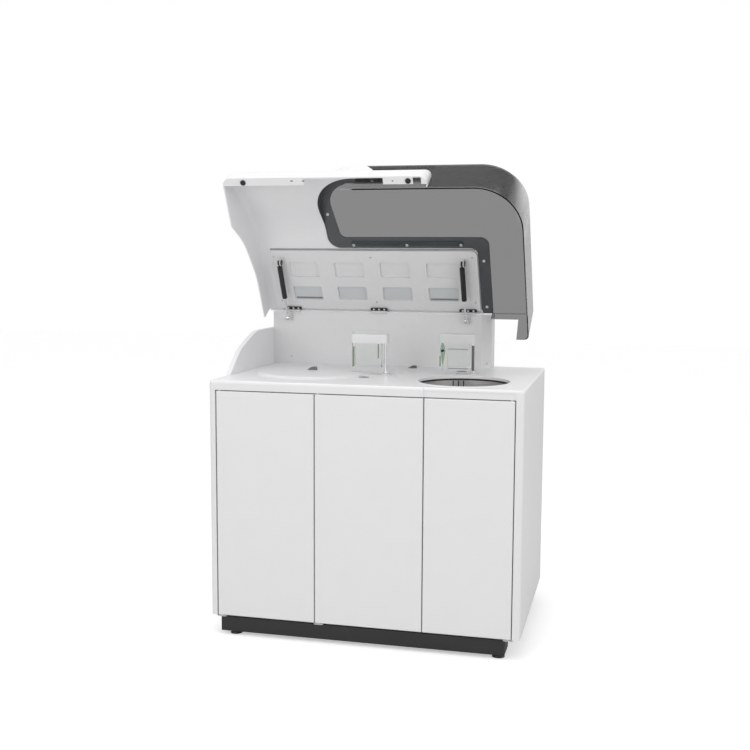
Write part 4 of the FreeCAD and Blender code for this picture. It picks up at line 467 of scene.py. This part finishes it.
def add_window_trim():
    """Dark lining of the wall at the window's left edge, with the strip that seals the sheet along it."""
    wall = 1.2
    strip_widths = 11
    fade_steps = 5
    hinge_y, clamp_low_z = 235, 1040
    path = [(-233.6 - 0.0429 * (-y - 27), y) for y in range(-74, -176, -12)]
    centre, radius = (-90.2, -180.0), 149.8
    for step in range(14):
        angle = math.radians(178 + 5.6 * step)
        path.append((centre[0] + radius * math.cos(angle), centre[1] + radius * math.sin(angle)))
    lining = bmesh.new()
    rows, strip = [], []
    for index, (x, y) in enumerate(path):
        before, after = path[max(index - 1, 0)], path[min(index + 1, len(path) - 1)]
        along = Vector((after[0] - before[0], after[1] - before[1])).normalized()
        inward = Vector((-along.y, along.x)) * wall
        high = clamp_low_z - (hinge_y - y) * math.tan(math.radians(lid_fall_deg))
        fade = min(1.0, (len(path) - 1 - index) / fade_steps)
        low = high - 1.0 - (high - 2.0 - lid_inner_height(y)) * math.sin(fade * math.pi / 2)
        face = (x + inward.x, y + inward.y)
        rows.append(closed_lid_ring(lining, ((x, y, high), (*face, high), (*face, low), (x, y, low))))
        inward *= strip_widths
        face = (x + inward.x, y + inward.y)
        strip_low, strip_high = high + 2.4, high + 3.8
        strip.append(closed_lid_ring(lining, ((x, y, strip_low), (*face, strip_low), (*face, strip_high),
                                              (x, y, strip_high))))
    for rings in (rows, strip):
        join_rings(lining, rings)
        close_ends(lining, rings)
    add_piece("window_lining", lining, "lining_grey", "lid")


def add_guard(name, body, node, edges):
    """Open-ended splash guard of thin clear sheet, with the green glint of its cut edges.

    Each edge is its distance from the guard's left and what it leaves free at its top and bottom.
    """
    low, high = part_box(node)
    middle = ((low[0] + high[0]) / 2, (low[1] + high[1]) / 2)
    size = (high[0] - low[0], high[1] - low[1])
    sheet, corner = 0.0025, 0.006
    panes = bmesh.new()
    outer = rounded(size[0], size[1], corner)
    inner = rounded(size[0] - 2 * sheet, size[1] - 2 * sheet, corner - sheet)
    rings = []
    for points, height in ((outer, low[2]), (outer, high[2]), (inner, high[2]), (inner, low[2])):
        rings.append([panes.verts.new((middle[0] + x, middle[1] + y, height)) for x, y in points])
    join_rings(panes, rings + rings[:1])
    guard = add_piece(name, panes, "clear_sheet", body)
    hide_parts(node)
    glint = bmesh.new()
    for x, top, bottom in edges:
        slab(glint, rounded(0.0042, 0.003, 0.0012), low[2] + bottom, high[2] - top,
             Matrix.Translation((low[0] + x, low[1] + 0.0018, 0)), edge=0.0008)
    add_piece(name + "_edges", glint, "green_edge", body)


def dress_arms():
    """Guards, the clear hood, the probe's blade, the wash tube and box and the post of the two probe arms."""
    add_guard("sample_guard", "sample_arm", "sample_arm_guard", ((0.006, 0.027, 0.002), (0.090, 0.018, 0.030)))
    add_guard("reagent_guard", "reagent_arm", "reagent_arm_guard", ((0.0035, 0.060, 0.002),))
    low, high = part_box("sample_arm_cover")
    hood = bmesh.new()
    slab(hood, rounded(0.110, 0.028, 0.009), high[2] - 0.001, high[2] + 0.011,
         Matrix.Translation(((low[0] + high[0]) / 2 - 0.004, (low[1] + high[1]) / 2, 0)), edge=0.004)
    add_piece("sample_hood", hood, "clear_sheet", "sample_arm")
    low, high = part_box("reagent_arm_guard")
    left, bottom = low[0], low[2]
    blade = bmesh.new()
    profile = [(0, 0.004), (0.0016, 0.006), (0.0045, 0.028), (0.0085, 0.052), (0.0075, 0.062), (0.0028, 0.080),
               (0, 0.094)]
    flatten = Matrix.Scale(0.55, 4, (0, 1, 0))
    lathe(blade, profile, Matrix.Translation((left + 0.0105, low[1] + 0.0125, bottom)) @ flatten)
    add_piece("reagent_blade", blade, "green_clear", "reagent_arm")
    seal = bmesh.new()
    lathe(seal, [(0.0025, 0.049), (0.0052, 0.050), (0.0052, 0.056), (0.0025, 0.057), (0.0025, 0.049)],
          Matrix.Translation((left + 0.0105, low[1] + 0.0072, bottom)))
    add_piece("blade_seal", seal, "rubber", "reagent_arm")
    tube = bmesh.new()
    lathe(tube, [(0, -0.004), (0.0018, -0.004), (0.003, -0.001), (0.003, 0.038), (0.0015, 0.044), (0, 0.044)],
          Matrix.Translation((left + 0.024, low[1] + 0.008, bottom)))
    add_piece("wash_tube", tube, "cream_plastic", "reagent_arm")
    box_place = Matrix.Translation((left + 0.062, (low[1] + high[1]) / 2 + 0.001, 0))
    box = bmesh.new()
    slab(box, rounded(0.066, 0.016, 0.003), bottom - 0.006, bottom + 0.058, box_place, edge=0.001)
    add_piece("wash_box", box, "clear_sheet", "reagent_arm")
    rims = bmesh.new()
    for height in (bottom + 0.0585, bottom - 0.0065):
        slab(rims, rounded(0.067, 0.017, 0.003), height - 0.0008, height + 0.0008, box_place, edge=0.0003)
    add_piece("wash_box_rims", rims, "grey_plastic", "reagent_arm")
    low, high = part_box("reagent_arm_shaft")
    inner, outer = 0.0042, 0.0046
    post = bmesh.new()
    lathe(post, [(inner, 0.012), (outer, 0.013), (outer, 0.098), (inner, 0.099), (inner, 0.012)],
          Matrix.Translation(((low[0] + high[0]) / 2, (low[1] + high[1]) / 2, deck_z)))
    add_piece("reagent_post_sleeve", post, "grip_grey", "reagent_arm")


def dress_deck():
    """Housing and cover screws, two dark grips, a black ring inside the tub's rim that is partly gasket and partly
    painted shadow, and the tub's ribs beside the deck's seam.
    """
    housing_front, cover_back = 240, 317
    places = [standing(x, housing_front, deck_mm + rise) @ facing_front
              for x, rise in ((303.7, 170), (306, 18.3), (-415, 26.3))]
    add_screws("housing_screws", places, SMALL_SCREW, "plain_steel", "cabinet")
    grips = bmesh.new()
    side = [(-0.017, 0), (-0.012, 0.004), (-0.004, 0.009), (0.006, 0.0115), (0.0145, 0.0105), (0.017, 0.007),
            (0.017, 0)]
    for x, y, z, size in ((-256, -22, 841.6, 1.0), (48, 198, 834.8, 0.85)):
        slab(grips, [(a * size, b * size) for a, b in side], -0.006, 0.006, standing(x, y, z) @ facing_front,
             edge=0.0016)
    add_piece("deck_grips", grips, "grip_grey", "cabinet")
    tub_x, tub_y, tub_wall = 290, -168, 144.0
    # Black ring just inside the tub's rim: partly a gasket, partly painted shadow under the rim
    gasket = bmesh.new()
    lathe(gasket, [(0.1436, 0.8215), (0.1446, 0.8215), (0.1446, 0.8290), (0.1436, 0.8290), (0.1436, 0.8215)],
          standing(tub_x, tub_y, 0), steps=96)
    add_piece("rim_gasket", gasket, "rubber", "cabinet")
    seam = bmesh.new()
    slab(seam, rounded(0.0012, 0.0314, 0.0005), 0, 0.0004, standing(195, -343, 819.5) @ facing_front)
    add_piece("deck_seam", seam, "pale_plastic", "cabinet")
    ribs = bmesh.new()
    for x in (233, 250, 266):
        y = tub_y + math.sqrt(tub_wall ** 2 - (x - tub_x) ** 2)
        slab(ribs, rounded(0.0038, 0.003, 0.001), 0.700, 0.822, standing(x, y, 0))
    add_piece("tub_ribs", ribs, "rubber", "cabinet")
    places = [standing(x, cover_back, z) @ facing_back for x in (-470, -160, 155, 465) for z in (80, 449, 819)]
    add_screws("rear_cover_screws", places, COVER_SCREW, "plain_steel", "cabinet")


def add_camera():
    """The photograph's camera, from its place and its three angles."""
    data = bpy.data.cameras.new("camera")
    data.sensor_width = sensor_mm
    data.lens = sensor_mm * focal_pixels / image_pixels
    data.clip_end = 50.0
    pitch, yaw, roll = (math.radians(a) for a in (camera_pitch_deg, camera_yaw_deg, camera_roll_deg))
    right = Vector((math.cos(yaw), math.sin(yaw), 0))
    level = Vector((-math.sin(yaw), math.cos(yaw), 0))
    forward = level * math.cos(pitch) - Vector((0, 0, 1)) * math.sin(pitch)
    up = level * math.sin(pitch) + Vector((0, 0, 1)) * math.cos(pitch)
    tilted_right = right * math.cos(roll) + up * math.sin(roll)
    tilted_up = up * math.cos(roll) - right * math.sin(roll)
    camera = bpy.data.objects.new("camera", data)
    turn = Matrix((tilted_right, tilted_up, -forward)).transposed().to_4x4()
    camera.matrix_world = Matrix.Translation(Vector(camera_place)) @ turn
    bpy.context.collection.objects.link(camera)
    bpy.context.scene.camera = camera


def white_for_camera(tree, lit_shader_output, output_input):
    """Mixes plain white in for camera, gloss and transmission rays, and keeps the lit shader for the rest."""
    path = tree.nodes.new("ShaderNodeLightPath")
    first = tree.nodes.new("ShaderNodeMath")
    first.operation = "MAXIMUM"
    second = tree.nodes.new("ShaderNodeMath")
    second.operation = "MAXIMUM"
    tree.links.new(path.outputs["Is Camera Ray"], first.inputs[0])
    tree.links.new(path.outputs["Is Glossy Ray"], first.inputs[1])
    tree.links.new(first.outputs[0], second.inputs[0])
    tree.links.new(path.outputs["Is Transmission Ray"], second.inputs[1])
    mix = tree.nodes.new("ShaderNodeMixShader")
    tree.links.new(second.outputs[0], mix.inputs[0])
    tree.links.new(lit_shader_output, mix.inputs[1])
    tree.links.new(mix.outputs[0], output_input)
    return mix


def add_world(strength):
    """Even light from all round, in front of a white background."""
    world = bpy.data.worlds.new("world")
    world.use_nodes = True
    tree = world.node_tree
    lit = tree.nodes["Background"]
    lit.inputs["Color"].default_value = (1.0, 1.0, 1.0, 1)
    lit.inputs["Strength"].default_value = strength
    white = tree.nodes.new("ShaderNodeBackground")
    white.inputs["Color"].default_value = (1, 1, 1, 1)
    white.inputs["Strength"].default_value = 1.0
    mix = white_for_camera(tree, lit.outputs[0], tree.nodes["World Output"].inputs["Surface"])
    tree.links.new(white.outputs[0], mix.inputs[2])
    bpy.context.scene.world = world


def add_floor():
    """Pale floor: its own colour plus enough white that only the object's shadow shows."""
    mesh = bpy.data.meshes.new("floor")
    half = 12.0
    floor_glow = 0.45
    mesh.from_pydata([(-half, -half, 0), (half, -half, 0), (half, half, 0), (-half, half, 0)], [], [(0, 1, 2, 3)])
    floor = bpy.data.objects.new("floor", mesh)
    bpy.context.collection.objects.link(floor)
    material, tree_nodes, links = build_material("floor")
    shader = tree_nodes["Principled BSDF"]
    shader.inputs["Roughness"].default_value = 0.9
    noise = add_texture(tree_nodes, links, "ShaderNodeTexNoise", 3.0)
    ramp = tree_nodes.new("ShaderNodeValToRGB")
    ramp.color_ramp.elements[0].color = (0.78, 0.78, 0.78, 1)
    ramp.color_ramp.elements[1].color = (0.80, 0.80, 0.80, 1)
    links.new(noise.outputs["Fac"], ramp.inputs["Fac"])
    links.new(ramp.outputs["Color"], shader.inputs["Base Color"])
    glow = tree_nodes.new("ShaderNodeEmission")
    glow.inputs["Strength"].default_value = floor_glow
    add = tree_nodes.new("ShaderNodeAddShader")
    links.new(shader.outputs[0], add.inputs[0])
    links.new(glow.outputs[0], add.inputs[1])
    path = tree_nodes.new("ShaderNodeLightPath")
    mix = tree_nodes.new("ShaderNodeMixShader")
    links.new(path.outputs["Is Camera Ray"], mix.inputs[0])
    links.new(shader.outputs[0], mix.inputs[1])
    links.new(add.outputs[0], mix.inputs[2])
    links.new(mix.outputs[0], tree_nodes["Material Output"].inputs["Surface"])
    mesh.materials.append(material)


def add_lamp(name, place, target, size, power):
    """A round area lamp that faces its target."""
    data = bpy.data.lights.new(name, "AREA")
    data.shape = "DISK"
    data.size = size
    data.energy = power
    lamp = bpy.data.objects.new(name, data)
    lamp.location = place
    lamp.rotation_euler = (Vector(target) - Vector(place)).to_track_quat("-Z", "Y").to_euler()
    bpy.context.collection.objects.link(lamp)


dress_cad()
dress_lid()
add_window_trim()
dress_arms()
dress_deck()
add_camera()
add_world(0.635)
add_floor()
cabinet_middle = (0.0, 0.0, 0.8)
for lamp_name, lamp_place, lamp_size, lamp_power in (("key", (-1.6, -4.2, 1.7), 2.4, 29.0),
                                                     ("fill", (3.4, -2.2, 2.2), 2.6, 32.0),
                                                     ("top", (-0.4, -1.1, 4.3), 2.6, 44.0)):
    add_lamp(lamp_name, lamp_place, cabinet_middle, lamp_size, lamp_power)

bpy.context.scene.view_settings.view_transform = "Standard"
